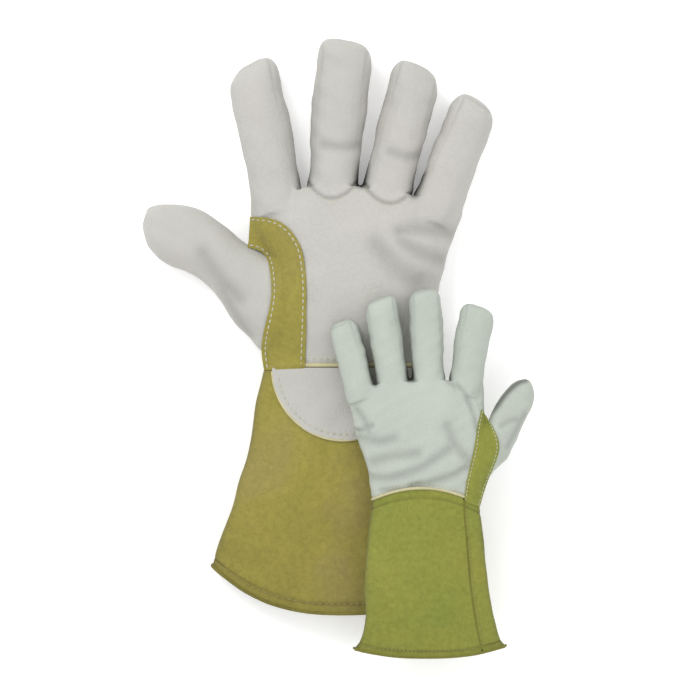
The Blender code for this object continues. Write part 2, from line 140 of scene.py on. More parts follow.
# Soft folds on the side that shows: path, depth, width
LARGE_FOLDS = (
    (((66, 78), (50, 82), (34, 80)), 1.3, 4.0),
    (((62, 62), (46, 66), (36, 74)), 1.0, 4.5),
    (((44, 50), (30, 58), (20, 72)), 1.0, 6.0),
    (((-12, 132), (2, 130), (14, 133)), 0.6, 3.0),
    (((-62, 40), (-74, 52), (-84, 66)), 1.0, 5.0),
    (((-56, 17), (-64, 28), (-72, 44)), 1.2, 3.5),
    (((28, 128), (40, 124), (48, 127)), 0.6, 3.0),
)
SMALL_FOLDS = (
    (((52, 14), (30, 12), (6, 21), (-22, 40)), 1.6, 4.5),
    (((12, 5), (-8, 9), (-24, 15), (-38, 23)), 2.0, 4.0),
    (((40, 2), (22, 4), (6, 8)), 1.0, 3.0),
    (((68, 57), (59, 57), (50, 62)), 1.7, 2.6),
    (((-21, 103), (-34, 96), (-43, 78), (-48, 58)), 0.8, 2.4),
    (((48, 28), (30, 34), (8, 36)), 1.3, 5.0),
    (((62, 52), (44, 46), (30, 50)), 1.4, 5.0),
    (((-40, 30), (-26, 44), (-20, 62)), 0.9, 5.0),
    (((64, 76), (56, 66), (54, 56)), 1.2, 3.5),
    (((-70, 62), (-80, 68), (-88, 66)), 1.0, 3.5),
    (((-76, 42), (-84, 56), (-92, 72)), 1.0, 4.0),
)


class Glove:
    """One glove: its cut, its scale and the place of its wrist seam in the frame."""

    def __init__(self, name, mirror, palm_up, **cut):
        self.name = name
        self.mirror = mirror
        self.palm_up = palm_up
        self.hand = cut["hand"]
        self.cuff = cut["cuff"]
        self.thumb = cut["thumb"]
        self.fingers = cut["fingers"]
        self.strap = cut["strap"]
        self.knuckles = cut["knuckles"]
        self.wrist = cut["wrist"]
        self.hem = cut["hem"]
        low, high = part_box(f"{name}_wrist_piping")
        self.scale = (high.x - low.x) / (self.hand[0][2] - self.hand[0][1] + WRIST_PROUD)
        wrist_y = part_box(f"{name}_cuff_hem")[0].y - self.hem(0) * self.scale
        self.origin = np.array(((low.x + high.x) / 2, wrist_y, low.z))

    def to_world(self, points):
        local = np.array(points, float).reshape(-1, 3) * self.scale
        if self.mirror:
            local[:, 0] *= -1
        return local + self.origin

    def to_glove(self, points):
        local = (np.array(points, float).reshape(-1, 3) - self.origin) / self.scale
        if self.mirror:
            local[:, 0] *= -1
        return local


GLOVES = {
    "large": Glove(
        "large", False, True, hand=LARGE_HAND, cuff=LARGE_CUFF, thumb=LARGE_THUMB,
        fingers=LARGE_FINGERS, strap=LARGE_STRAP,
        wrist=lambda x: 0.0 * x,
        knuckles=lambda x: 107 - 0.0030 * (x + 6) ** 2,
        hem=lambda x: -150 + 28 * (abs(x) / 79) ** 2.5),
    "small": Glove(
        "small", True, False, hand=SMALL_HAND, cuff=SMALL_CUFF, thumb=SMALL_THUMB,
        fingers=SMALL_FINGERS, strap=SMALL_STRAP,
        wrist=lambda x: 4.2 - 0.0052 * (x - 4) ** 2,
        knuckles=lambda x: 103 - 0.0016 * (x + 6) ** 2,
        hem=lambda x: -154 + 9 * (abs(x) / 70) ** 2.5),
}
SURFACES = {}           # leather surfaces that patches and stitches are laid on


# ------------------------------------------------------------------ curves and sections

def mix(first, second, share):
    return first + (second - first) * share


def through(table, keys, column):
    """Smooth curve through one column of a table whose first column rises."""
    knots = np.array([row[0] for row in table], float)
    values = np.array([row[column] for row in table], float)
    slopes = np.gradient(values, knots)
    keys = np.clip(keys, knots[0], knots[-1])
    index = np.clip(np.searchsorted(knots, keys) - 1, 0, len(knots) - 2)
    step = knots[index + 1] - knots[index]
    t = (keys - knots[index]) / step
    return (values[index] * (2 * t ** 3 - 3 * t ** 2 + 1)
            + slopes[index] * step * (t ** 3 - 2 * t ** 2 + t)
            + values[index + 1] * (3 * t ** 2 - 2 * t ** 3)
            + slopes[index + 1] * step * (t ** 3 - t ** 2))


def section(turn):
    """Unit outline of a tube that lies flat, by angle in radians from its far side."""
    power = 2 / np.where(np.sin(turn) >= 0, TOP_CURVE, BOTTOM_CURVE)
    across = np.sign(np.cos(turn)) * np.abs(np.cos(turn)) ** power
    up = np.sign(np.sin(turn)) * np.abs(np.sin(turn)) ** power
    return across, up


def levels(height):
    half = height * (1 + SINK) / 2
    return height - half, half


def waves(points, length, seed, count=9):
    """Smooth random relief, about -1 to 1, with bumps of about the given length."""
    random = np.random.default_rng(seed)
    directions = random.normal(size=(count, 3))
    directions /= np.linalg.norm(directions, axis=1)[:, None]
    lengths = length * random.uniform(0.7, 1.5, count)
    phases = random.uniform(0, 2 * math.pi, count)
    angles = points @ (directions / lengths[:, None]).T * 2 * math.pi + phases
    return np.sin(angles).sum(axis=1) / math.sqrt(count)


def hand_shape(glove, u, v):
    """Hand tube from just inside the cuff to the knuckles."""
    turn = u * 2 * math.pi
    low = through(glove.hand, v, 1)
    high = through(glove.hand, v, 2)
    middle, rise = levels(through(glove.hand, v, 3))
    across, up = section(turn)
    x = (low + high) / 2 + (high - low) / 2 * across
    y = mix(glove.wrist(x) - 0.2, glove.knuckles(x) + 3, v)
    return np.stack((x, y, np.maximum(middle + rise * up, 0)), axis=1)


def cuff_shape(glove, turn, v):
    """Cuff tube from the hem to the wrist seam."""
    low = through(glove.cuff, v, 1)
    high = through(glove.cuff, v, 2)
    middle, rise = levels(through(glove.cuff, v, 3))
    across, up = section(turn)
    x = (low + high) / 2 + (high - low) / 2 * across
    y = mix(glove.hem(x), glove.wrist(x) - 0.5, v)
    z = middle + rise * up
    return np.stack((x, y, np.maximum(z, 0)), axis=1)


def finger_root(glove, index):
    """Root point, forward and side directions of a finger, in plan."""
    x, lean = glove.fingers[index][:2]
    turn = math.radians(lean)
    forward = np.array((math.sin(turn), math.cos(turn)))
    side = np.array((forward[1], -forward[0]))
    return np.array((x, glove.knuckles(x) + ROOT_GAP)), forward, side


def finger_shape(glove, index, u, v):
    """Finger tube from inside the palm to a blunt tip."""
    length, width, tip_width, height, slant = glove.fingers[index][2:]
    root, forward, side = finger_root(glove, index)
    start = -12.0
    turn = u * 2 * math.pi
    corner = 12.5
    ahead = mix(start, length, v)
    share = np.clip((ahead - (length - corner)) / corner, 0, 1)
    tip = np.maximum(1 - share ** 2.1, 0) ** (1 / 2.1)
    plan_tip = mix(0.36, 1.0, tip)
    half = mix(width, tip_width, np.clip(ahead / length, 0, 1)) / 2 * plan_tip
    middle, rise = levels(mix(25.5, height, np.clip(ahead / 45, 0, 1)))
    across, up = section(turn)
    ahead = ahead + slant * across * plan_tip * np.clip(ahead / length, 0, 1) ** 2
    aside = half * across
    place = root + ahead[:, None] * forward + aside[:, None] * side
    z = np.maximum(middle + rise * mix(0.35, 1.0, tip) * up, 0)
    return np.stack((place[:, 0], place[:, 1], z), axis=1)


def thumb_shape(glove, u, v):
    """Thumb tube from inside the hand to its round tip."""
    first, last = glove.thumb[0][0], glove.thumb[-1][0]
    reach = mix(first, last, v)
    low = through(glove.thumb, reach, 1)
    high = through(glove.thumb, reach, 2)
    share = np.clip((reach - (last - 12)) / 12, 0, 1)
    tip = np.maximum(1 - share ** 2.2, 0) ** (1 / 2.2)
    middle, rise = levels(26.0)
    across, up = section(u * 2 * math.pi)
    y = (low + high) / 2 + np.maximum(high - low, 0) / 2 * across
    z = np.maximum(middle + rise * mix(0.15, 1.0, tip) * up, 0)
    return np.stack((-reach, y, z), axis=1)


# ------------------------------------------------------------------ mesh helpers

def deselect_all():
    bpy.ops.object.select_all(action="DESELECT")


def activate(piece):
    deselect_all()
    piece.select_set(True)
    bpy.context.view_layer.objects.active = piece


def coords(piece):
    values = np.empty(len(piece.data.vertices) * 3, np.float32)
    piece.data.vertices.foreach_get("co", values)
    return values.reshape(-1, 3).astype(float)


def set_coords(piece, values):
    piece.data.vertices.foreach_set("co", np.asarray(values, np.float32).ravel())
    piece.data.update()


def vertex_normals(piece):
    values = np.empty(len(piece.data.vertices) * 3, np.float32)
    piece.data.vertex_normals.foreach_get("vector", values)
    return values.reshape(-1, 3).astype(float)


def apply_modifier(piece, name, kind, **settings):
    activate(piece)
    modifier = piece.modifiers.new(name, kind)
    for key, value in settings.items():
        setattr(modifier, key, value)
    bpy.ops.object.modifier_apply(modifier=modifier.name)


def loft(name, across, along, shape, wrap=False, close=False):
    """A grid primitive whose points are laid out by shape(u, v) in metres."""
    deselect_all()
    bpy.ops.mesh.primitive_grid_add(x_subdivisions=across, y_subdivisions=along, size=2)
    piece = bpy.context.object
    piece.name = name
    piece.data.name = name
    flat = coords(piece)
    set_coords(piece, shape((flat[:, 0] + 1) / 2, (flat[:, 1] + 1) / 2))
    if wrap or close:
        bpy.ops.object.mode_set(mode="EDIT")
        bpy.ops.mesh.select_all(action="SELECT")
        bpy.ops.mesh.remove_doubles(threshold=1e-6)
        if close:
            bpy.ops.mesh.fill_holes(sides=0)
            bpy.ops.mesh.select_all(action="SELECT")
            bpy.ops.mesh.normals_make_consistent(inside=False)
        bpy.ops.object.mode_set(mode="OBJECT")
    return piece


def join(pieces, name):
    deselect_all()
    for piece in pieces:
        piece.select_set(True)
    bpy.context.view_layer.objects.active = pieces[0]
    bpy.ops.object.join()
    pieces[0].name = name
    return pieces[0]


def face_outward(piece, centre_line):
    """Turn a sheet's faces away from the middle of the glove, given by z."""
    points = coords(piece)
    normals = vertex_normals(piece)
    if ((points[:, 2] - centre_line) * normals[:, 2]).sum() < 0:
        activate(piece)
        bpy.ops.object.mode_set(mode="EDIT")
        bpy.ops.mesh.select_all(action="SELECT")
        bpy.ops.mesh.flip_normals()
        bpy.ops.object.mode_set(mode="OBJECT")


def fill_out(glove, skin, pressure, cap, frames=20):
    """Cloth simulation that fills the leather out; no point moves further than cap.

    It runs on a coarse copy, and the skin takes over how far the copy's points moved.
    """
    copy = skin.copy()
    copy.data = skin.data.copy()
    bpy.context.scene.collection.objects.link(copy)
    apply_modifier(copy, "Coarse", "REMESH", mode="VOXEL", voxel_size=3.6 * glove.scale)
    before = coords(copy)
    activate(copy)
    modifier = copy.modifiers.new("Fill", "CLOTH")
    cloth = modifier.settings
    cloth.quality = 5
    cloth.mass = 0.3
    cloth.tension_stiffness = 15
    cloth.compression_stiffness = 15
    cloth.shear_stiffness = 5
    cloth.bending_stiffness = 0.5
    cloth.use_pressure = True
    cloth.uniform_pressure_force = pressure
    cloth.effector_weights.gravity = 0
    modifier.point_cache.frame_start = 1
    modifier.point_cache.frame_end = frames
    for frame_number in range(1, frames + 1):
        bpy.context.scene.frame_set(frame_number)
    bpy.ops.object.modifier_apply(modifier=modifier.name)
    moved = coords(copy) - before
    bpy.data.objects.remove(copy, do_unlink=True)
    bpy.context.scene.frame_set(1)
    length = np.linalg.norm(moved, axis=1)[:, None]
    moved *= np.minimum(1, cap / np.maximum(length, 1e-9))
    tree = KDTree(len(before))
    for i, point in enumerate(before):
        tree.insert(point, i)
    tree.balance()
    points = coords(skin)
    local = glove.to_glove(points)
    free = np.clip((local[:, 1] - glove.wrist(local[:, 0]) - 3) / 16, 0, 1)
    for i, point in enumerate(points):
        near = tree.find_n(point, 6)
        weights = np.array([1 / (1e-4 + gap) for _, _, gap in near])
        move = weights @ moved[[found for _, found, _ in near]] / weights.sum()
        points[i] += free[i] * move
    set_coords(skin, points)


def distance_to_path(points, path):
    """Distance in plan from each point to a line through the path's points."""
    best = np.full(len(points), np.inf)
    for start, end in zip(path[:-1], path[1:]):
        start, end = np.array(start, float), np.array(end, float)
        run = end - start
        share = np.clip(((points - start) @ run) / (run @ run), 0, 1)
        best = np.minimum(best, np.linalg.norm(points - start - share[:, None] * run, axis=1))
    return best


def rounded(path, rounds=2):
    """Corner cutting: the same path with its corners rounded."""
    points = [np.array(p, float) for p in path]
    for _ in range(rounds):
        cut = [points[0]]
        for a, b in zip(points[:-1], points[1:]):
            cut += [a * 0.75 + b * 0.25, a * 0.25 + b * 0.75]
        points = cut + [points[-1]]
    return np.array(points)


def evenly(path, step):
    """Points along a path, a step apart."""
    path = np.asarray(path, float)
    lengths = np.concatenate(([0], np.cumsum(np.linalg.norm(np.diff(path, axis=0), axis=1))))
    count = max(int(round(lengths[-1] / step)), 1)
    marks = np.linspace(0, lengths[-1], count + 1)
    return np.stack([np.interp(marks, lengths, path[:, i]) for i in range(path.shape[1])], axis=1)


# ------------------------------------------------------------------ leather skins

def skin_creases(glove):
    """Seams and folds pressed into the hand, and painted shadow at the webs and beside the small
    glove's thumb: path in plan, face, depth, width, shade.
    """
    palm = 1 if glove.palm_up else -1
    webs = web_points(glove)
    creases = []
    # Seams at the roots of the middle fingers, with painted shade in their grooves.
    for first, second, drop in ((0, 1, 9), (1, 2, 8)):
        a, b = webs[first] + (1.5, 0), webs[second] - (1.5, 0)
        low = (a + b) / 2 - np.array((0.0, drop))
        path = rounded([a + (0, 1), (a * 0.72 + b * 0.28) + (0, -drop * 0.8), low,
                        (a * 0.28 + b * 0.72) + (0, -drop * 0.8), b + (0, 1)])
        creases.append((path, palm, 0.8, 1.2, 0.5))
    # Painted shadow between neighbouring fingers, with no groove pressed in.
    for index, web in enumerate(webs):
        ways = finger_root(glove, index)[1] + finger_root(glove, index + 1)[1]
        ahead = ways / np.linalg.norm(ways)
        reach = WEB_REACH[glove.name][index]
        creases.append((np.array([web + ahead * 1.5, web + ahead * reach]), 0, 0.0, 2.9, 2.0))
    # Painted shadow along the small glove's thumb, on its shaded side.
    if glove.name == "small":
        creases.append((rounded(THUMB_SHADE), 0, 0.0, 2.9, 1.1))
    # Folds get a light painted shade in their grooves.
    folds = LARGE_FOLDS if glove.name == "large" else SMALL_FOLDS
    for path, depth, width in folds:
        creases.append((rounded(path), 1, depth, width, 0.35))
    return creases


def web_points(glove):
    """Where neighbouring fingers meet, in plan."""
    points = []
    for index in range(3):
        right_root, _, right_side = finger_root(glove, index)
        left_root, _, left_side = finger_root(glove, index + 1)
        width = glove.fingers[index][3] / 2
        other = glove.fingers[index + 1][3] / 2
        points.append((right_root + right_side * width + left_root - left_side * other) / 2)
    return np.array(points)


def fused_tubes(glove, voxel):
    """Hand, thumb and finger tubes grown together into one closed skin."""
    def placed(shape):
        return lambda u, v: glove.to_world(shape(u, v))
    tubes = [loft("hand_tube", 96, 60, placed(lambda u, v: hand_shape(glove, u, v)), close=True)]
    tubes.append(loft("thumb_tube", 64, 60,
                      placed(lambda u, v: thumb_shape(glove, u, v)), close=True))
    for index in range(4):
        tubes.append(loft("finger_tube", 56, 80, placed(
            lambda u, v, i=index: finger_shape(glove, i, u, v)), close=True))
    skin = join(tubes, f"{glove.name}_skin")
    apply_modifier(skin, "Grow together", "REMESH", mode="VOXEL",
                   voxel_size=voxel * glove.scale, use_smooth_shade=True)
    apply_modifier(skin, "Soften", "SMOOTH", factor=0.5, iterations=9)
    return skin


def shape_skin(glove, skin):
    """Seams, folds and the small unevenness of the leather, moved into the skin; painted shade in
    seams, folds and webs and on sides that turn away.
    """
    points = glove.to_glove(coords(skin))
    normals = vertex_normals(skin)
    if glove.mirror:
        normals[:, 0] *= -1
    move = 0.55 * waves(points, 34, 11) + 0.22 * waves(points, 13, 12)
    darkening_and_painted_shade = np.zeros(len(points))
    for index in range(4):
        root, forward, side = finger_root(glove, index)
        length, width, tip_width, _, slant = glove.fingers[index][2:]
        ahead = (points[:, :2] - root) @ forward
        aside = (points[:, :2] - root) @ side
        share = np.clip(ahead / length, 0, 1)
        half = mix(width, tip_width, share) / 2
        end = length + slant * aside / half * share ** 2
        inside = np.minimum(half - np.abs(aside), end - ahead)
        # The seam near each fingertip: a groove with painted shade in it.
        facing = np.clip(np.abs(normals[:, 2]) * 2.5, 0, 1) * np.clip((ahead - 6) / 10, 0, 1)
        groove = np.exp(-((inside - 3.2) / 0.9) ** 2) * facing * (np.abs(aside) < half + 2)
        groove *= (ahead < length + 6) * np.clip((ahead / length - 0.55) / 0.35, 0.25, 1)
        move -= 0.45 * groove
        darkening_and_painted_shade = np.maximum(darkening_and_painted_shade, 0.22 * groove)
    # Seams, folds and webs: pressed in by their depth, with painted shade by their shade.
    for path, face, depth, width, shade in skin_creases(glove):
        away = distance_to_path(points[:, :2], path)
        facing = np.clip(normals[:, 2] * face * 2.5, 0, 1) if face else 1.0
        groove = np.exp(-(away / width) ** 2) * facing
        ridge = np.exp(-((away - 2 * width) / width) ** 2) * facing
        move += -depth * groove + 0.25 * min(depth, 1.6) * ridge
        darkening_and_painted_shade = np.maximum(darkening_and_painted_shade, shade * groove)
    # Painted shade on the sides that turn away from above.
    darkening_and_painted_shade = np.maximum(darkening_and_painted_shade, 0.2 * np.clip(1 - np.abs(normals[:, 2]) / 0.4, 0, 1))
    # The small glove is also darker towards its thumb.
    if glove.name == "small":
        darkening_and_painted_shade = np.maximum(darkening_and_painted_shade, 0.1 * np.clip((-points[:, 0] - 60) / 12, 0, 1))
    points += normals * move[:, None]
    points[:, 2] = np.maximum(points[:, 2], 0.0)
    placed = glove.to_world(points)
    if glove.name == "large":
        placed[:, 2] = np.minimum(placed[:, 2], GLOVES["small"].origin[2] - GLOVE_GAP)
    set_coords(skin, placed)
    # The painted shade and darkening go to the leather materials as a point attribute.
    seam = skin.data.attributes.new("seam_depth", "FLOAT", "POINT")
    seam.data.foreach_set("value", np.clip(darkening_and_painted_shade, 0, 1.6).astype(np.float32))


def skin_regions(glove, points):
    """Which part each point belongs to: -1 hand, 0 to 3 fingers, 4 thumb."""
    region = np.full(len(points), -1)
    plan = points[:, :2]
    beyond = plan[:, 1] > glove.knuckles(plan[:, 0]) + ROOT_GAP
    nearest = np.full(len(points), np.inf)
    for index in range(4):
        root, _, side = finger_root(glove, index)
        aside = np.abs((plan - root) @ side) / glove.fingers[index][3]
        closer = beyond & (aside < nearest)
        region[closer] = index
        nearest[closer] = aside[closer]
    region[(plan[:, 0] < thumb_edge(glove)) & (region != 0)] = 4
    far_thumb = (plan[:, 0] < thumb_edge(glove) - 6) & (plan[:, 1] < 106)
    region[far_thumb] = 4
    return region


def thumb_edge(glove):
    """How far from the middle the hand's skin ends and the thumb's begins."""
    return -57.8 if glove.name == "large" else -61.0


def keep_faces(source, name, chosen):
    """A copy of the source with only the chosen faces, shaded as one with the rest."""
    piece = source.copy()
    piece.data = source.data.copy()
    piece.name = name
    piece.data.name = name
    bpy.context.scene.collection.objects.link(piece)
    normals = vertex_normals(source)
    mesh = bmesh.new()
    mesh.from_mesh(piece.data)
    mesh.faces.ensure_lookup_table()
    layer = mesh.verts.layers.int.new("old_index")
    for vertex in mesh.verts:
        vertex[layer] = vertex.index
    bmesh.ops.delete(mesh, geom=[mesh.faces[i] for i in np.flatnonzero(~chosen)],
                     context="FACES")
    mesh.to_mesh(piece.data)
    mesh.free()
    old = np.empty(len(piece.data.vertices), np.int32)
    piece.data.attributes["old_index"].data.foreach_get("value", old)
    piece.data.attributes.remove(piece.data.attributes["old_index"])
    piece.data.normals_split_custom_set_from_vertices(normals[old].tolist())
    return piece


def split_skin(glove, skin):
    """Cut the finished skin into hand, fingers and thumb; the hand goes on its body."""
    count = len(skin.data.polygons)
    centres = np.empty(count * 3, np.float32)
    skin.data.polygons.foreach_get("center", centres)
    region = skin_regions(glove, glove.to_glove(centres.reshape(-1, 3)))
    hand_body = f"{glove.name}_hand"
    hand = keep_faces(skin, f"{glove.name}_hand_leather", region == -1)
    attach(hand, hand_body)
    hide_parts(f"{glove.name}_palm_panel", f"{glove.name}_back_panel")
    pieces = [hand]
    for index, word in enumerate((*FINGERS, "thumb")):
        piece = keep_faces(skin, f"{glove.name}_{word}_leather", region == index)
        if word == "thumb":
            edge = thumb_edge(glove)
            start, end = ((edge - THUMB_BEND[0], 40, 0), (edge - THUMB_BEND[1], 40, 0))
        else:
            root, forward, _ = finger_root(glove, index)
            start, end = ((*(root + forward * FINGER_BEND[0]), 0),
                          (*(root + forward * FINGER_BEND[1]), 0))
        first, last = glove.to_world([start, end])
        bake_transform(piece)
        shown = [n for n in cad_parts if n.startswith(f"{glove.name}_{word}_")
                 and not n.endswith("strap")]
        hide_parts(*shown)
        pieces.append(piece)
    for piece in pieces:
        grain_slot(glove)
        piece.data.materials.clear()
        piece.data.materials.append(grain_material(glove))
    bpy.data.objects.remove(skin, do_unlink=True)


def grain_slot(glove):
    return "grain_leather" if glove.name == "large" else "grain_leather_cool"


def make_hand(glove, settings):
    """The whole hand of one glove as leather skins, the hand's skin on its body."""
    skin = fused_tubes(glove, 1.0)
    fill_out(glove, skin, settings.fill_pressure, settings.fill_cap * glove.scale / MM)
    points = coords(skin)
    points[:, 2] = np.maximum(points[:, 2], glove.origin[2])
    set_coords(skin, points)
    shape_skin(glove, skin)
    SURFACES[glove.name + "_hand"] = surface_of(skin)
    split_skin(glove, skin)


def surface_of(*pieces):
    """Search tree over the faces of the pieces, for laying other pieces on them."""
    mesh = bmesh.new()
    for piece in pieces:
        mesh.from_mesh(piece.data)
    tree = BVHTree.FromBMesh(mesh)
    mesh.free()
    return tree


# ------------------------------------------------------------------ cuffs

def make_cuff(glove, settings):
    """Palm and back of the gauntlet cuff, as two thick sheets of split leather."""
    welt = welt_turn(glove)
    gap = math.radians(1.2)
    spans = {"near": (0.004, welt - gap), "far": (welt + gap, 2 * math.pi - 0.004)}
    names = ("palm", "back") if glove.palm_up else ("back", "palm")
    made = []
    for (first, last), face in zip(spans.values(), names):
        def shape(u, v, first=first, last=last):
            points = cuff_shape(glove, mix(first, last, u), v)
            return glove.to_world(cuff_relief(glove, points, v))
        across = int(70 * (last - first) / math.pi)
        piece = loft(f"{glove.name}_cuff_{face}_leather", across, 90, shape)
        face_outward(piece, glove.to_world([(0, 0, MIDDLE)])[0][2])
        made.append(piece)
    SURFACES[glove.name + "_cuff"] = surface_of(*made)
    for piece, face in zip(made, names):
        apply_modifier(piece, "Leather", "SOLIDIFY", thickness=1.7 * glove.scale, offset=-1)
        piece.data.shade_smooth()
        piece.data.set_sharp_from_angle(angle=math.radians(50))
        shade_cuff(glove, piece)
        finish_piece(piece, glove, "split_leather", split_material(glove),
                     f"{glove.name}_cuff_{face}_panel")


def cuff_relief(glove, points, v):
    """Slow waves, the hem seam and, on the small glove, corners that curl at the hem."""
    out = points - np.stack((points[:, 0] * 0, points[:, 1], points[:, 0] * 0 + MIDDLE), axis=1)
    out[:, 0] *= 0.15
    out[:, 1] = 0
    out /= np.maximum(np.linalg.norm(out, axis=1), 1e-6)[:, None]
    fade = np.clip((1 - v) * 8, 0, 1)
    relief = (0.8 * waves(points, 75, 31) + 0.35 * waves(points, 26, 32)) * fade
    if glove.name == "small":
        relief -= 0.5 * np.exp(-((glove.wrist(points[:, 0]) - points[:, 1] - WRIST_FOLD) / 1.4) ** 2)
    relief -= 0.35 * np.exp(-((points[:, 1] - glove.hem(points[:, 0]) - HEM_SEAM) / 1.2) ** 2)
    points = points + out * relief[:, None]
    points[:, 2] = np.maximum(points[:, 2], 0)
    if glove.name == "small":
        curl = np.clip(1 - v * 14, 0, 1) ** 2
        corner = np.clip((np.abs(points[:, 0] + 6) - 48) / 16, 0, 1)
        points[:, 0] += np.sign(points[:, 0]) * 1.8 * curl * corner
    return points


def welt_turn(glove):
    """Angle at which the cuff's lengthwise seam runs."""
    curve = BOTTOM_CURVE if glove.palm_up else TOP_CURVE
    turn = math.acos(0.70 ** (curve / 2))
    return math.pi + turn if glove.palm_up else math.pi - turn


def shade_cuff(glove, piece):
    """Painted shade beside the edges, under the wrist welt and in the small glove's fold below the
    wrist, with a darker hem band, a dark line in the hem seam and darkening towards the hem.
    """
    points = glove.to_glove(coords(piece))
    plan = points[:, :2]
    wrist = glove.wrist(plan[:, 0])
    hem = glove.hem(plan[:, 0])
    share = np.clip((plan[:, 1] - hem) / (wrist - hem), 0, 1)
    low, high = through(glove.cuff, share, 1), through(glove.cuff, share, 2)
    beside = np.minimum(plan[:, 0] - low, high - plan[:, 0])
    # Painted shade beside the edges, where the cuff turns away.
    darkening_and_painted_shade = 0.55 * np.exp(-np.clip(beside, 0, None) / 1.8)
    # A darker band along the hem, and a dark line in the hem seam.
    darkening_and_painted_shade += 0.16 * np.clip(1 - (plan[:, 1] - hem) / 7.5, 0, 1) ** 0.3
    darkening_and_painted_shade += 0.5 * np.exp(-((plan[:, 1] - hem - HEM_SEAM) / 0.8) ** 2)
    # Painted shadow under the wrist welt.
    darkening_and_painted_shade += 0.2 * np.exp(-np.clip(wrist - plan[:, 1], 0, None) / 3.5)
    # Darker towards the hem.
    darkening_and_painted_shade += 0.16 * np.clip(1 - share / 0.55, 0, 1)
    # Painted shade in the small glove's fold below the wrist.
    if glove.name == "small":
        darkening_and_painted_shade += 0.45 * np.exp(-((wrist - plan[:, 1] - WRIST_FOLD) / 1.0) ** 2)
    shade = piece.data.attributes.new("seam_depth", "FLOAT", "POINT")
    shade.data.foreach_set("value", darkening_and_painted_shade.astype(np.float32))


def finish_piece(piece, glove, slot, material, *nodes, body=None):
    """Give a finished piece its material, its body and the nodes that it stands for."""
    piece.data.materials.clear()
    piece.data.materials.append(material)
    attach(piece, body or f"{glove.name}_hand")
    if nodes:
        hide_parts(*nodes)


def sweep(name, points, radius, sides=8, closed=False, flat=1.0):
    """A cord of round section along points in metres."""
    points = np.asarray(points, float)
    ahead = np.roll(points, -1, axis=0) - np.roll(points, 1, axis=0)
    if not closed:
        ahead[0] = points[1] - points[0]
        ahead[-1] = points[-1] - points[-2]
    ahead /= np.linalg.norm(ahead, axis=1)[:, None]
    side = np.cross(ahead, np.tile((0.0, 0.0, 1.0), (len(points), 1)))
    side /= np.maximum(np.linalg.norm(side, axis=1), 1e-9)[:, None]
    up = np.cross(side, ahead)
    turns = np.arange(sides) * 2 * math.pi / sides
    rings = (points[:, None, :] + radius * (np.cos(turns)[None, :, None] * side[:, None, :]
             + flat * np.sin(turns)[None, :, None] * up[:, None, :]))
    vertices = rings.reshape(-1, 3).tolist()
    faces = []
    count = len(points)
    for i in range(count if closed else count - 1):
        j = (i + 1) % count
        for k in range(sides):
            m = (k + 1) % sides
            faces.append((i * sides + k, i * sides + m, j * sides + m, j * sides + k))
    if not closed:
        faces.append(tuple(range(sides - 1, -1, -1)))
        faces.append(tuple((count - 1) * sides + k for k in range(sides)))
    data = bpy.data.meshes.new(name)
    data.from_pydata(vertices, [], faces)
    data.validate()
    data.shade_smooth()
    piece = bpy.data.objects.new(name, data)
    bpy.context.scene.collection.objects.link(piece)
    activate(piece)
    bpy.ops.object.mode_set(mode="EDIT")
    bpy.ops.mesh.select_all(action="SELECT")
    bpy.ops.mesh.normals_make_consistent(inside=False)
    bpy.ops.object.mode_set(mode="OBJECT")
    return piece


def make_hem(glove, settings):
    """The turned edge of the cuff, all the way round the mouth."""
    turns = np.linspace(0, 2 * math.pi, 161)[:-1]
    v = np.full(len(turns), 0.004)
    points = cuff_relief(glove, cuff_shape(glove, turns, v), v)
    inward = points.copy()
    inward[:, 2] = mix(points[:, 2], MIDDLE, 0.06)
    path = glove.to_world(np.stack((points[:, 0], points[:, 1] + 0.6, inward[:, 2]), axis=1))
    radius = settings.hem_roll / 2 * glove.scale / MM
    path[:, 2] = np.maximum(path[:, 2], glove.origin[2] + radius)
    hem = sweep(f"{glove.name}_cuff_hem_roll", path, radius, sides=10, closed=True)
    finish_piece(hem, glove, "edge_leather", edge_material(glove), f"{glove.name}_cuff_hem")


def make_welts(glove, settings):
    """The welt in the wrist seam and the welt along the cuff."""
    turns = np.linspace(0, 2 * math.pi, 121)[:-1]
    first = glove.hand[0]
    across, up = section(turns)
    middle, rise = levels(first[3] + 0.4)
    x = (first[1] + first[2]) / 2 + (first[2] - first[1] + 1.0) / 2 * across
    ring = glove.to_world(np.stack((x, glove.wrist(x), middle + rise * up), axis=1))
    radius = settings.piping_width / 2 * glove.scale / MM
    ring[:, 2] = np.maximum(ring[:, 2], glove.origin[2] + radius)
    cord = sweep(f"{glove.name}_wrist_welt", ring, radius, sides=10, closed=True)
    SURFACES[glove.name + "_welt"] = surface_of(cord)
    finish_piece(cord, glove, "edge_leather", cream_material(), f"{glove.name}_wrist_piping")

    v = np.linspace(0.03, 0.985, 90)
    line = cuff_shape(glove, np.full(len(v), welt_turn(glove)), v)
    line = glove.to_world(cuff_relief(glove, line, v))
    radius = 1.0 * glove.scale
    line[:, 2] = np.maximum(line[:, 2] - 0.3 * radius, glove.origin[2] + radius)
    cord = sweep(f"{glove.name}_cuff_seam_fold", line, radius, sides=10)
    finish_piece(cord, glove, "edge_leather", edge_material(glove), f"{glove.name}_cuff_seam_welt")


# ------------------------------------------------------------------ patches and stitches

def drop_onto(trees, points, up):
    """Heights of the surfaces over or under each point; misses take the nearest hit."""
    start, way = (1.0, -1.0) if up else (-1.0, 1.0)
    heights = np.full(len(points), np.nan)
    for i, point in enumerate(points):
        found = []
        for tree in trees:
            place = tree.ray_cast(Vector((point[0], point[1], start)), Vector((0, 0, way)))[0]
            if place is not None:
                found.append(place.z)
        if found:
            heights[i] = max(found) if up else min(found)
    known = np.flatnonzero(~np.isnan(heights))
    for i in np.flatnonzero(np.isnan(heights)):
        gap = np.linalg.norm(points[known, :2] - points[i, :2], axis=1)
        heights[i] = heights[known[gap.argmin()]]
    return heights


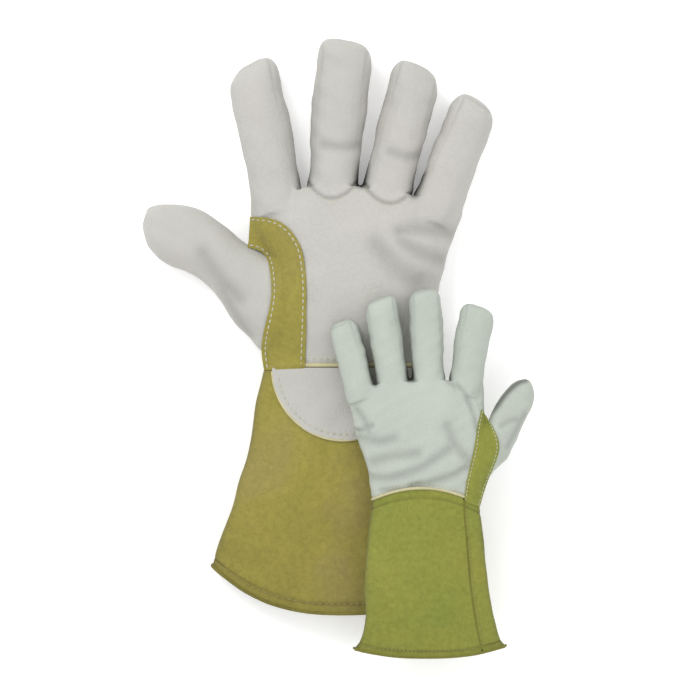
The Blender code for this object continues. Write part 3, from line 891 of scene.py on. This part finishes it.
def laid_patch(name, glove, plan, across, along, trees, up, thickness, relief=0.25):
    """A leather patch cut to plan(u, v), laid on the surfaces and given its thickness."""
    side = 1 if up else -1
    thick = thickness * glove.scale

    def shape(u, v):
        flat = glove.to_world(np.column_stack((*plan(u, v).T, np.zeros(len(u)))))
        flat[:, 2] = drop_onto(trees, flat, up)
        if up:
            flat[:, 2] = np.maximum(flat[:, 2], glove.origin[2] + PATCH_FLOOR * glove.scale)
        flat[:, 2] += side * (thick + 0.1 * glove.scale)
        flat[:, 2] += side * relief * glove.scale * waves(glove.to_glove(flat), 22, 51)
        return flat
    patch = loft(name, across, along, shape)
    apply_modifier(patch, "Settle", "SMOOTH", factor=0.5, iterations=12,
                   use_x=False, use_y=False)
    face_outward(patch, coords(patch)[:, 2].mean() - side)
    apply_modifier(patch, "Leather", "SOLIDIFY", thickness=thick, offset=-1)
    apply_modifier(patch, "Edges", "BEVEL", width=0.3 * glove.scale, segments=2,
                   limit_method="ANGLE", angle_limit=math.radians(50))
    patch.data.shade_smooth()
    patch.data.set_sharp_from_angle(angle=math.radians(60))
    return patch


def strap_plan(glove):
    """Plan of the J-shaped strap; u runs across it and v along it."""
    inner = rounded([row[0] for row in glove.strap])
    outer = rounded([row[1] for row in glove.strap])
    steps = np.linspace(0, 1, 60)
    sides = [np.stack([np.interp(steps, np.linspace(0, 1, len(side)), side[:, i])
                       for i in (0, 1)], axis=1) for side in (inner, outer)]

    def plan(u, v):
        edges = [np.stack([np.interp(v, steps, side[:, i]) for i in (0, 1)], axis=1)
                 for side in sides]
        return mix(edges[0], edges[1], u[:, None])
    return plan


def heel_plan(glove):
    """Plan of the heel patch: a half ellipse with its straight side on the wrist seam."""
    def plan(u, v):
        turn = math.pi * (1 + u)
        reach = mix(0.01, 1.0, v)
        x = HEEL_WIDTH / 2 * np.cos(turn) * reach
        return np.stack((x, glove.wrist(x) - 1.6 + HEEL_DEPTH * np.sin(turn) * reach), axis=1)
    return plan


def plan_path(plan, u, v, count=80):
    """Points in plan along one line of a patch."""
    u = np.broadcast_to(np.linspace(*u, count) if isinstance(u, tuple) else u, (count,))
    v = np.broadcast_to(np.linspace(*v, count) if isinstance(v, tuple) else v, (count,))
    return plan(np.array(u, float), np.array(v, float))


def on_surface(glove, plan_points, trees, up, lift, step=1.5):
    """A path in metres laid on the surfaces, lift millimetres above them."""
    line = evenly(plan_points, step)
    flat = glove.to_world(np.column_stack((line, np.zeros(len(line)))))
    side = 1 if up else -1
    flat[:, 2] = drop_onto(trees, flat, up) + side * lift * glove.scale
    for _ in range(3):
        flat[1:-1, 2] = (flat[:-2, 2] + 2 * flat[1:-1, 2] + flat[2:, 2]) / 4
    return flat


def stitch_row(name, glove, path, settings, up=True, sides=6):
    """A row of thread stitches along a path in metres."""
    length = settings.stitch_length / MM
    radius = settings.thread_width / 2 / MM
    marks = evenly(path, length * 1.45 * glove.scale)
    vertices, faces = [], []
    lift = np.array((0, 0, 1.0 if up else -1.0))
    for here, there in zip(marks[:-1], marks[1:]):
        ahead = (there - here) / max(np.linalg.norm(there - here), 1e-9)
        side = np.cross(ahead, lift)
        side /= max(np.linalg.norm(side), 1e-9)
        base = len(vertices)
        for share, width in STITCH_RINGS:
            centre = (here + there) / 2 + ahead * share * length * glove.scale
            centre = centre - lift * (2 * share) ** 2 * radius * 0.9 * glove.scale
            if width == 0:
                vertices.append(centre)
                continue
            for k in range(sides):
                turn = k * 2 * math.pi / sides
                vertices.append(centre + radius * width * glove.scale
                                * (math.cos(turn) * side + math.sin(turn) * lift))
        rings = len(STITCH_RINGS) - 2
        for k in range(sides):
            m = (k + 1) % sides
            faces.append((base, base + 1 + m, base + 1 + k))
            for ring in range(rings - 1):
                a, b = base + 1 + ring * sides, base + 1 + (ring + 1) * sides
                faces.append((a + k, a + m, b + m, b + k))
            last = base + 1 + (rings - 1) * sides
            faces.append((last + k, last + m, base + 1 + rings * sides))
    data = bpy.data.meshes.new(name)
    data.from_pydata([tuple(v) for v in vertices], [], faces)
    data.shade_smooth()
    piece = bpy.data.objects.new(name, data)
    bpy.context.scene.collection.objects.link(piece)
    activate(piece)
    bpy.ops.object.mode_set(mode="EDIT")
    bpy.ops.mesh.select_all(action="SELECT")
    bpy.ops.mesh.normals_make_consistent(inside=False)
    bpy.ops.object.mode_set(mode="OBJECT")
    return piece


def make_patches(glove, settings):
    """The strap beside the thumb and the heel patch, with their edge stitching."""
    both = [SURFACES[glove.name + "_hand"], SURFACES[glove.name + "_cuff"]]
    every = both + [SURFACES[glove.name + "_welt"]]
    plan = strap_plan(glove)
    strap = laid_patch(f"{glove.name}_strap_leather", glove, plan, 26, 90, every, True, 1.3)
    finish_piece(strap, glove, "split_leather", split_material(glove),
                 f"{glove.name}_thumb_strap")
    top = [surface_of(strap)]
    for number, share in enumerate((0.09, 0.91)):
        line = plan_path(plan, share, (0.02, 0.98))
        path = on_surface(glove, line, top, True, STITCH_LIFT)
        row = stitch_row(f"{glove.name}_strap_stitches_{number + 1}", glove, path, settings)
        finish_piece(row, glove, "split_leather", thread_material())

    up = glove.palm_up
    plan = heel_plan(glove)
    heel = laid_patch(f"{glove.name}_heel_leather", glove, plan, 90, 34, both, up, 1.3, 0.4)
    finish_piece(heel, glove, grain_slot(glove), grain_material(glove),
                 f"{glove.name}_heel_patch")
    rim = plan_path(plan, (0.015, 0.985), 1.0)
    path = on_surface(glove, rim, both, up, 0.9)
    cord = sweep(f"{glove.name}_heel_edge", path, 0.75 * glove.scale)
    finish_piece(cord, glove, "edge_leather", cream_material())
    inner = plan_path(plan, (0.04, 0.96), 0.92)
    path = on_surface(glove, inner, [surface_of(heel)], up, STITCH_LIFT)
    row = stitch_row(f"{glove.name}_heel_stitches", glove, path, settings, up)
    finish_piece(row, glove, grain_slot(glove), thread_material())


def make_seams(glove, settings):
    """Stitch rows along the hem, the wrist and the roots of the middle fingers."""
    cuff = [SURFACES[glove.name + "_cuff"]]
    hand = [SURFACES[glove.name + "_hand"]]
    turns = np.linspace(math.radians(14), math.radians(166), 90)
    v = np.full(len(turns), 0.045)
    hem = cuff_shape(glove, turns, v)[:, :2]
    path = on_surface(glove, hem, cuff, True, STITCH_LIFT)
    row = stitch_row(f"{glove.name}_hem_stitches", glove, path, settings)
    finish_piece(row, glove, "edge_leather", olive_thread_material())

    wrist = [(x, glove.wrist(x) + 3.4) for x in np.linspace(-38, 38, 40)]
    path = on_surface(glove, wrist, hand, True, STITCH_LIFT)
    row = stitch_row(f"{glove.name}_wrist_stitches", glove, path, settings)
    finish_piece(row, glove, grain_slot(glove), thread_material())

    if glove.palm_up:
        for number, crease in enumerate(skin_creases(glove)[:2]):
            line = crease[0][2:-2] + (0, -1.6)
            path = on_surface(glove, line, hand, True, 0.0)
            row = stitch_row(f"{glove.name}_finger_seam_{number + 1}", glove, path, settings)
            finish_piece(row, glove, grain_slot(glove), thread_material())
    else:
        u = welt_turn(glove) + math.radians(4.5)
        v = np.linspace(0.05, 0.97, 90)
        line = cuff_shape(glove, np.full(len(v), u), v)[:, :2]
        path = on_surface(glove, line, cuff, True, STITCH_LIFT)
        row = stitch_row(f"{glove.name}_cuff_seam_stitches", glove, path, settings)
        finish_piece(row, glove, "edge_leather", olive_thread_material())


# ------------------------------------------------------------------ materials

def srgb(red, green, blue):
    """Linear colour for a colour given on the usual 0 to 255 screen scale."""
    return tuple((c / 255 / 12.92 if c <= 10 else ((c / 255 + 0.055) / 1.055) ** 2.4)
                 for c in (red, green, blue)) + (1.0,)


def new_group(name, inputs, outputs):
    group = bpy.data.node_groups.new(name, "ShaderNodeTree")
    for label, kind, default in inputs:
        socket = group.interface.new_socket(label, in_out="INPUT", socket_type=kind)
        if default is not None:
            socket.default_value = default
    for label, kind in outputs:
        group.interface.new_socket(label, in_out="OUTPUT", socket_type=kind)
    return group


class Sheet:
    """Short names for adding and joining nodes in one tree."""

    def __init__(self, tree):
        self.tree = tree

    def add(self, kind, **settings):
        node = self.tree.nodes.new(kind)
        for key, value in settings.items():
            setattr(node, key, value)
        return node

    def join(self, source, target):
        self.tree.links.new(source, target)

    def put(self, socket, value):
        if isinstance(value, bpy.types.NodeSocket):
            self.join(value, socket)
        else:
            socket.default_value = value

    def math(self, operation, first, second=0.0, clamp=False):
        node = self.add("ShaderNodeMath", operation=operation, use_clamp=clamp)
        self.put(node.inputs[0], first)
        self.put(node.inputs[1], second)
        return node.outputs[0]

    def noise(self, vector, scale, detail=2.0, rough=0.5, warp=0.0):
        node = self.add("ShaderNodeTexNoise")
        self.join(vector, node.inputs["Vector"])
        self.put(node.inputs["Scale"], scale)
        node.inputs["Detail"].default_value = detail
        node.inputs["Roughness"].default_value = rough
        node.inputs["Distortion"].default_value = warp
        return node.outputs[0]

    def cells(self, vector, scale, feature="F1"):
        node = self.add("ShaderNodeTexVoronoi", feature=feature)
        self.join(vector, node.inputs["Vector"])
        self.put(node.inputs["Scale"], scale)
        return node.outputs["Distance"]

    def spread(self, value, low, high, to_low=0.0, to_high=1.0):
        node = self.add("ShaderNodeMapRange")
        self.join(value, node.inputs[0])
        for index, number in enumerate((low, high, to_low, to_high)):
            self.put(node.inputs[index + 1], number)
        return node.outputs[0]

    def mix(self, share, first, second, way="MIX"):
        node = self.add("ShaderNodeMix", data_type="RGBA", blend_type=way)
        self.put(node.inputs[0], share)
        self.put(node.inputs[6], first)
        self.put(node.inputs[7], second)
        return node.outputs[2]


def grain_group():
    """Pebbled leather grain with fine creases; sizes are in cells a metre."""
    name = "Leather grain"
    if name in bpy.data.node_groups:
        return bpy.data.node_groups[name]
    group = new_group(
        name,
        [("Vector", "NodeSocketVector", None), ("Pebbles", "NodeSocketFloat", 900.0),
         ("Creases", "NodeSocketFloat", 160.0)],
        [("Height", "NodeSocketFloat"), ("Shade", "NodeSocketFloat")])
    sheet = Sheet(group)
    source = sheet.add("NodeGroupInput").outputs
    target = sheet.add("NodeGroupOutput").inputs
    vector = source["Vector"]
    pebbles = sheet.cells(vector, source["Pebbles"], "SMOOTH_F1")
    fine = sheet.noise(vector, sheet.math("MULTIPLY", source["Pebbles"], 0.45), 3.0, 0.6)
    crease = sheet.cells(vector, source["Creases"], "DISTANCE_TO_EDGE")
    crease = sheet.spread(crease, 0.0, 0.09, 0.0, 1.0)
    patches = sheet.noise(vector, 22.0, 3.0, 0.55, 0.4)
    few = sheet.spread(patches, 0.42, 0.62, 0.0, 1.0)
    crease = sheet.math("MAXIMUM", crease, sheet.math("SUBTRACT", 1.0, few))
    height = sheet.math("ADD", sheet.math("MULTIPLY", pebbles, -0.55),
                        sheet.math("MULTIPLY", fine, 0.6))
    height = sheet.math("ADD", height, sheet.math("MULTIPLY", crease, 0.35))
    sheet.join(height, target["Height"])
    shade = sheet.math("MULTIPLY", sheet.spread(pebbles, 0.1, 0.75, 1.0, 0.95),
                       sheet.spread(crease, 0.0, 1.0, 0.975, 1.0))
    sheet.join(shade, target["Shade"])
    return group


def nap_group():
    """The brushed nap of split leather: short fibres lying in changing directions."""
    name = "Suede nap"
    if name in bpy.data.node_groups:
        return bpy.data.node_groups[name]
    group = new_group(
        name, [("Vector", "NodeSocketVector", None), ("Fibres", "NodeSocketFloat", 1500.0)],
        [("Height", "NodeSocketFloat"), ("Shade", "NodeSocketFloat"),
         ("Brushed", "NodeSocketFloat")])
    sheet = Sheet(group)
    source = sheet.add("NodeGroupInput").outputs
    target = sheet.add("NodeGroupOutput").inputs
    vector = source["Vector"]
    fibre = sheet.noise(vector, source["Fibres"], 2.0, 0.7, 1.2)
    clump = sheet.noise(vector, sheet.math("MULTIPLY", source["Fibres"], 0.22), 4.0, 0.65, 0.6)
    height = sheet.math("ADD", sheet.math("MULTIPLY", fibre, 0.5),
                        sheet.math("MULTIPLY", clump, 0.9))
    sheet.join(height, target["Height"])
    sheet.join(sheet.spread(clump, 0.3, 0.7, 0.86, 1.1), target["Shade"])
    brushed = sheet.noise(vector, 14.0, 5.0, 0.6, 0.8)
    sheet.join(sheet.spread(brushed, 0.36, 0.64), target["Brushed"])
    return group


def weave_group():
    """Plain weave of a cotton lining, from two crossed sets of yarns."""
    name = "Plain weave"
    if name in bpy.data.node_groups:
        return bpy.data.node_groups[name]
    group = new_group(
        name, [("Vector", "NodeSocketVector", None), ("Yarns", "NodeSocketFloat", 260.0)],
        [("Height", "NodeSocketFloat")])
    sheet = Sheet(group)
    source = sheet.add("NodeGroupInput").outputs
    target = sheet.add("NodeGroupOutput").inputs
    yarns = []
    for direction in ("X", "Y"):
        wave = sheet.add("ShaderNodeTexWave", bands_direction=direction)
        sheet.join(source["Vector"], wave.inputs["Vector"])
        sheet.join(source["Yarns"], wave.inputs["Scale"])
        wave.inputs["Distortion"].default_value = 0.6
        yarns.append(wave.outputs["Fac"])
    sheet.join(sheet.math("MULTIPLY", yarns[0], yarns[1]), target["Height"])
    return group


def new_material(name):
    """A material with its node helper, its shader and object coordinates."""
    material = bpy.data.materials.new(name)
    material.use_nodes = True
    sheet = Sheet(material.node_tree)
    shader = material.node_tree.nodes["Principled BSDF"]
    vector = sheet.add("ShaderNodeTexCoord").outputs["Object"]
    return material, sheet, shader, vector


def use_group(sheet, group, vector, **values):
    node = sheet.add("ShaderNodeGroup")
    node.node_tree = group
    sheet.join(vector, node.inputs["Vector"])
    for label, value in values.items():
        node.inputs[label].default_value = value
    return node.outputs


def bump(sheet, shader, height, distance, strength=1.0):
    node = sheet.add("ShaderNodeBump")
    node.inputs["Strength"].default_value = strength
    node.inputs["Distance"].default_value = distance
    sheet.join(height, node.inputs["Height"])
    sheet.join(node.outputs[0], shader.inputs["Normal"])


def grain_material(glove):
    """Off-white grain leather, greyer or cooler by glove, with painted shade in seams, folds and
    webs and on sides that turn away.
    """
    name = f"{glove.name} grain leather"
    if name in bpy.data.materials:
        return bpy.data.materials[name]
    look = bpy.context.scene.gauntlet_looks
    colour = look.large_leather if glove.name == "large" else look.small_leather
    material, sheet, shader, vector = new_material(name)
    grain = use_group(sheet, grain_group(), vector, Pebbles=950.0, Creases=170.0)
    tone = sheet.spread(sheet.noise(vector, 16.0, 3.0, 0.55), 0.35, 0.65)
    warm = sheet.mix(tone, [*[c * 0.93 for c in colour[:3]], 1], [*colour[:3], 1])
    blush = sheet.spread(sheet.noise(vector, 9.0, 2.0, 0.5), 0.5, 0.72, 0.0, 0.35)
    pink = (colour[0] * 1.03, colour[1] * 0.97, colour[2] * 0.97, 1)
    warm = sheet.mix(blush, warm, pink)
    # Painted shade and darkening from the point attribute, mixed towards near black.
    seam = sheet.add("ShaderNodeAttribute", attribute_name="seam_depth").outputs["Fac"]
    painted_shade_and_darkening_share = sheet.math("MULTIPLY", seam, 0.62, clamp=True)
    dark = sheet.mix(painted_shade_and_darkening_share, warm, (colour[0] * 0.05, colour[1] * 0.05, colour[2] * 0.045, 1))
    shade = sheet.add("ShaderNodeCombineColor")
    for socket in shade.inputs[:3]:
        sheet.join(grain["Shade"], socket)
    sheet.join(sheet.mix(1.0, dark, shade.outputs[0], "MULTIPLY"), shader.inputs["Base Color"])
    rough = sheet.spread(grain["Height"], -0.3, 0.6, 0.72, 0.55)
    sheet.join(rough, shader.inputs["Roughness"])
    shader.inputs["Specular IOR Level"].default_value = 0.35
    bump(sheet, shader, grain["Height"], 0.00022)
    return material


def suede(name, colour, dark_share, brown):
    """Split leather of one dye lot: mottled, napped, a little sheen."""
    if name in bpy.data.materials:
        return bpy.data.materials[name]
    material, sheet, shader, vector = new_material(name)
    nap = use_group(sheet, nap_group(), vector)
    base = sheet.mix(nap["Brushed"], [*[c * dark_share for c in colour[:3]], 1],
                     [*colour[:3], 1])
    patch = sheet.spread(sheet.noise(vector, 13.0, 3.0, 0.55, 0.5), 0.45, 0.68, 0.0, 0.8)
    base = sheet.mix(patch, base, brown)
    # Painted shade and darkening from the point attribute: beside the edges, under the wrist welt,
    # in folds and along the hem.
    seam = sheet.add("ShaderNodeAttribute", attribute_name="seam_depth").outputs["Fac"]
    base = sheet.mix(sheet.math("MULTIPLY", seam, 1.0, clamp=True), base,
                     [*[c * 0.22 for c in colour[:3]], 1])
    shade = sheet.add("ShaderNodeCombineColor")
    for socket in shade.inputs[:3]:
        sheet.join(nap["Shade"], socket)
    sheet.join(sheet.mix(1.0, base, shade.outputs[0], "MULTIPLY"), shader.inputs["Base Color"])
    sheet.join(sheet.spread(nap["Height"], 0.4, 0.9, 0.95, 0.8), shader.inputs["Roughness"])
    shader.inputs["Specular IOR Level"].default_value = 0.2
    shader.inputs["Sheen Weight"].default_value = 0.12
    shader.inputs["Sheen Roughness"].default_value = 0.5
    bump(sheet, shader, nap["Height"], 0.0003)
    return material


def split_material(glove):
    look = bpy.context.scene.gauntlet_looks
    colour = look.large_split if glove.name == "large" else look.small_split
    brown = srgb(140, 128, 78) if glove.name == "large" else srgb(120, 132, 58)
    return suede(f"{glove.name} split leather", colour, 0.84, brown)


def edge_material(glove):
    look = bpy.context.scene.gauntlet_looks
    colour = look.large_split if glove.name == "large" else look.small_split
    dark = [c * 0.6 for c in colour[:3]]
    return suede(f"{glove.name} cut edge", dark, 0.8, (*[c * 1.1 for c in dark], 1))


def plain_yarn(name, colour, twist, distance):
    """Twisted thread or cord: fine slanting ridges over a soft colour."""
    if name in bpy.data.materials:
        return bpy.data.materials[name]
    material, sheet, shader, vector = new_material(name)
    wave = sheet.add("ShaderNodeTexWave", bands_direction="DIAGONAL")
    sheet.join(vector, wave.inputs["Vector"])
    wave.inputs["Scale"].default_value = twist
    wave.inputs["Distortion"].default_value = 1.0
    dust = sheet.spread(sheet.noise(vector, 60.0, 3.0), 0.35, 0.7)
    tone = sheet.mix(dust, (*[c * 0.8 for c in colour[:3]], 1), colour)
    tone = sheet.mix(sheet.spread(wave.outputs["Fac"], 0.0, 1.0, 0.25, 0.0), tone,
                     (*[c * 0.55 for c in colour[:3]], 1))
    sheet.join(tone, shader.inputs["Base Color"])
    sheet.join(sheet.spread(wave.outputs["Fac"], 0.0, 1.0, 0.85, 0.7), shader.inputs["Roughness"])
    bump(sheet, shader, wave.outputs["Fac"], distance)
    return material


def cream_material():
    return plain_yarn("Cream welt", srgb(208, 200, 158), 420.0, 0.0002)


def thread_material():
    return plain_yarn("Off-white thread", srgb(206, 202, 184), 900.0, 0.0001)


def olive_thread_material():
    return plain_yarn("Olive thread", srgb(150, 142, 84), 900.0, 0.0001)


def cloth_material(name, colour, yarns):
    """Woven lining or elastic."""
    if name in bpy.data.materials:
        return bpy.data.materials[name]
    material, sheet, shader, vector = new_material(name)
    weave = use_group(sheet, weave_group(), vector, Yarns=yarns)
    tone = sheet.spread(weave["Height"], 0.0, 0.7)
    spots = sheet.spread(sheet.noise(vector, 40.0, 4.0), 0.3, 0.7, 0.0, 0.4)
    base = sheet.mix(tone, (*[c * 0.55 for c in colour[:3]], 1), colour)
    base = sheet.mix(spots, base, (*[c * 0.8 for c in colour[:3]], 1))
    sheet.join(base, shader.inputs["Base Color"])
    sheet.join(sheet.spread(weave["Height"], 0.0, 1.0, 0.97, 0.85), shader.inputs["Roughness"])
    bump(sheet, shader, weave["Height"], 0.0003)
    return material


def floor_material():
    """Pale studio floor with a barely uneven surface."""
    material, sheet, shader, vector = new_material("Studio floor")
    cloud = sheet.noise(vector, 3.0, 2.0)
    sheet.join(sheet.mix(cloud, (0.93, 0.93, 0.93, 1), (0.97, 0.97, 0.97, 1)),
               shader.inputs["Base Color"])
    shader.inputs["Roughness"].default_value = 0.9
    shader.inputs["Specular IOR Level"].default_value = 0.1
    shader.inputs["Emission Color"].default_value = (1, 1, 1, 1)
    shader.inputs["Emission Strength"].default_value = 0.22
    return material


def make_linings(glove, settings):
    """Cloth for the linings and the elastic; the hand lining stops short of the webs."""
    cloth = cloth_material("Cotton lining", srgb(212, 206, 190), 230.0)
    band = cloth_material("Elastic", srgb(225, 224, 218), 420.0)
    for node, material in (("cuff_lining", cloth), ("wrist_elastic", band)):
        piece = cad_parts[f"{glove.name}_{node}"]
        piece.data.materials.clear()
        piece.data.materials.append(material)
    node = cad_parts[f"{glove.name}_hand_lining"]
    lining = bpy.data.objects.new(f"{glove.name}_hand_lining_cloth", node.data.copy())
    bpy.context.scene.collection.objects.link(lining)
    lining.data.transform(node.matrix_world)
    points = glove.to_glove(coords(lining))
    points[:, 0] *= 0.97
    points[:, 1] *= 0.93
    points[:, 2] = mix(points[:, 2], MIDDLE, 0.06)
    set_coords(lining, glove.to_world(points))
    finish_piece(lining, glove, "lining_cloth", cloth, node.name)


# ------------------------------------------------------------------ settings

class GauntletSizes(bpy.types.PropertyGroup):
    """Sizes that a user would change."""

    fill_pressure: bpy.props.FloatProperty(
        name="Fill pressure", description="How firmly the leather fills out", default=4.0)
    fill_cap: bpy.props.FloatProperty(
        name="Fill limit", description="Furthest that filling may move the leather",
        default=0.0022, unit="LENGTH")
    piping_width: bpy.props.FloatProperty(
        name="Wrist welt", description="Width of the cord in the wrist seam",
        default=0.0026, unit="LENGTH")
    hem_roll: bpy.props.FloatProperty(
        name="Hem roll", description="Thickness of the turned hem", default=0.0024,
        unit="LENGTH")
    stitch_length: bpy.props.FloatProperty(
        name="Stitch length", description="Length of one stitch", default=0.0026,
        unit="LENGTH")
    thread_width: bpy.props.FloatProperty(
        name="Thread width", description="Thickness of the sewing thread", default=0.0009,
        unit="LENGTH")


def colour_property(name, description, default):
    return bpy.props.FloatVectorProperty(
        name=name, description=description, default=default, size=4, min=0.0, max=1.0,
        subtype="COLOR")


class GauntletLooks(bpy.types.PropertyGroup):
    """Colours that a user would change."""

    large_leather: colour_property(
        "Large glove leather", "Grain leather of the large glove", srgb(183, 182, 176))
    small_leather: colour_property(
        "Small glove leather", "Grain leather of the small glove", srgb(178, 185, 175))
    large_split: colour_property(
        "Large glove split", "Split leather of the large glove", srgb(151, 142, 68))
    small_split: colour_property(
        "Small glove split", "Split leather of the small glove", srgb(142, 140, 62))


class PieceOperator:
    """Shared run over both gloves; an error stops the script."""

    bl_options = {"REGISTER", "UNDO"}

    def execute(self, context):
        for glove in GLOVES.values():
            self.make(glove, context.scene.gauntlet_sizes)
        return {"FINISHED"}


class AddHands(PieceOperator, bpy.types.Operator):
    """Adds the leather hands, fingers and thumbs"""

    bl_idname = "gauntlets.add_hands"
    bl_label = "Hands"
    make = staticmethod(make_hand)


class AddCuffs(PieceOperator, bpy.types.Operator):
    """Adds the flared cuffs"""

    bl_idname = "gauntlets.add_cuffs"
    bl_label = "Cuffs"
    make = staticmethod(make_cuff)


class AddHems(PieceOperator, bpy.types.Operator):
    """Adds the turned hems"""

    bl_idname = "gauntlets.add_hems"
    bl_label = "Hems"
    make = staticmethod(make_hem)


class AddWelts(PieceOperator, bpy.types.Operator):
    """Adds the welts of the wrist and cuff seams"""

    bl_idname = "gauntlets.add_welts"
    bl_label = "Welts"
    make = staticmethod(make_welts)


class AddPatches(PieceOperator, bpy.types.Operator):
    """Adds the thumb straps and heel patches with their stitching"""

    bl_idname = "gauntlets.add_patches"
    bl_label = "Patches"
    make = staticmethod(make_patches)


class AddSeams(PieceOperator, bpy.types.Operator):
    """Adds the rows of stitches"""

    bl_idname = "gauntlets.add_seams"
    bl_label = "Stitches"
    make = staticmethod(make_seams)


class AddLinings(PieceOperator, bpy.types.Operator):
    """Gives the linings and elastics their cloth"""

    bl_idname = "gauntlets.add_linings"
    bl_label = "Linings"
    make = staticmethod(make_linings)


VIEW_CENTRE = (0.0083, -0.0019, 0.02)
VIEW_DISTANCE = 2.4
VIEW_WIDTH = 0.420


class AddStage(bpy.types.Operator):
    """Adds the floor, the lights and the camera"""

    bl_idname = "gauntlets.add_stage"
    bl_label = "Stage"

    def execute(self, context):
        deselect_all()
        bpy.ops.mesh.primitive_grid_add(x_subdivisions=4, y_subdivisions=4, size=6)
        floor = context.object
        floor.name = "studio_floor"
        floor.data.materials.append(floor_material())
        lights = (
            ("key_light", (-0.9, 1.2, 1.5), 1.0, 18.0),
            ("fill_light", (1.2, 0.3, 1.6), 1.6, 7.0),
            ("low_light", (0.1, -1.5, 1.3), 1.6, 5.0),
        )
        for name, place, size, power in lights:
            bpy.ops.object.light_add(type="AREA", location=place)
            light = context.object
            light.name = name
            light.data.size = size
            light.data.energy = power
            light.rotation_euler = (-Vector(place)).to_track_quat("-Z", "Y").to_euler()
        world = bpy.data.worlds.new("Soft studio")
        world.use_nodes = True
        world.node_tree.nodes["Background"].inputs[0].default_value = (1, 1, 1, 1)
        world.node_tree.nodes["Background"].inputs[1].default_value = 0.85
        context.scene.world = world
        context.scene.view_settings.view_transform = "Standard"
        place = Vector(VIEW_CENTRE) + Vector((0, 0, VIEW_DISTANCE))
        bpy.ops.object.camera_add(location=place, rotation=(0, 0, 0))
        camera = context.object
        camera.name = "product_camera"
        camera.data.sensor_width = 36
        camera.data.lens = 36 * VIEW_DISTANCE / VIEW_WIDTH
        context.scene.camera = camera
        return {"FINISHED"}


OPERATORS = (AddHands, AddCuffs, AddHems, AddWelts, AddPatches, AddSeams, AddLinings,
             AddStage)


class GauntletPanel(bpy.types.Panel):
    """Lists the pieces in the sidebar"""

    bl_idname = "VIEW3D_PT_gauntlets"
    bl_label = "Welding gauntlets"
    bl_space_type = "VIEW_3D"
    bl_region_type = "UI"
    bl_category = "Gauntlets"

    def draw(self, context):
        for group in (context.scene.gauntlet_sizes, context.scene.gauntlet_looks):
            for name in group.__annotations__:
                self.layout.prop(group, name)
        for operator in OPERATORS:
            self.layout.operator(operator.bl_idname)


CLASSES = (GauntletSizes, GauntletLooks, *OPERATORS, GauntletPanel)


def register():
    for item in CLASSES:
        bpy.utils.register_class(item)
    bpy.types.Scene.gauntlet_sizes = bpy.props.PointerProperty(type=GauntletSizes)
    bpy.types.Scene.gauntlet_looks = bpy.props.PointerProperty(type=GauntletLooks)


def unregister():
    del bpy.types.Scene.gauntlet_looks
    del bpy.types.Scene.gauntlet_sizes
    for item in reversed(CLASSES):
        bpy.utils.unregister_class(item)


def main():
    register()
    bpy.ops.gauntlets.add_stage()
    bpy.ops.gauntlets.add_hands()
    bpy.ops.gauntlets.add_cuffs()
    bpy.ops.gauntlets.add_hems()
    bpy.ops.gauntlets.add_welts()
    bpy.ops.gauntlets.add_patches()
    bpy.ops.gauntlets.add_seams()
    bpy.ops.gauntlets.add_linings()


if __name__ == "__main__":
    main()
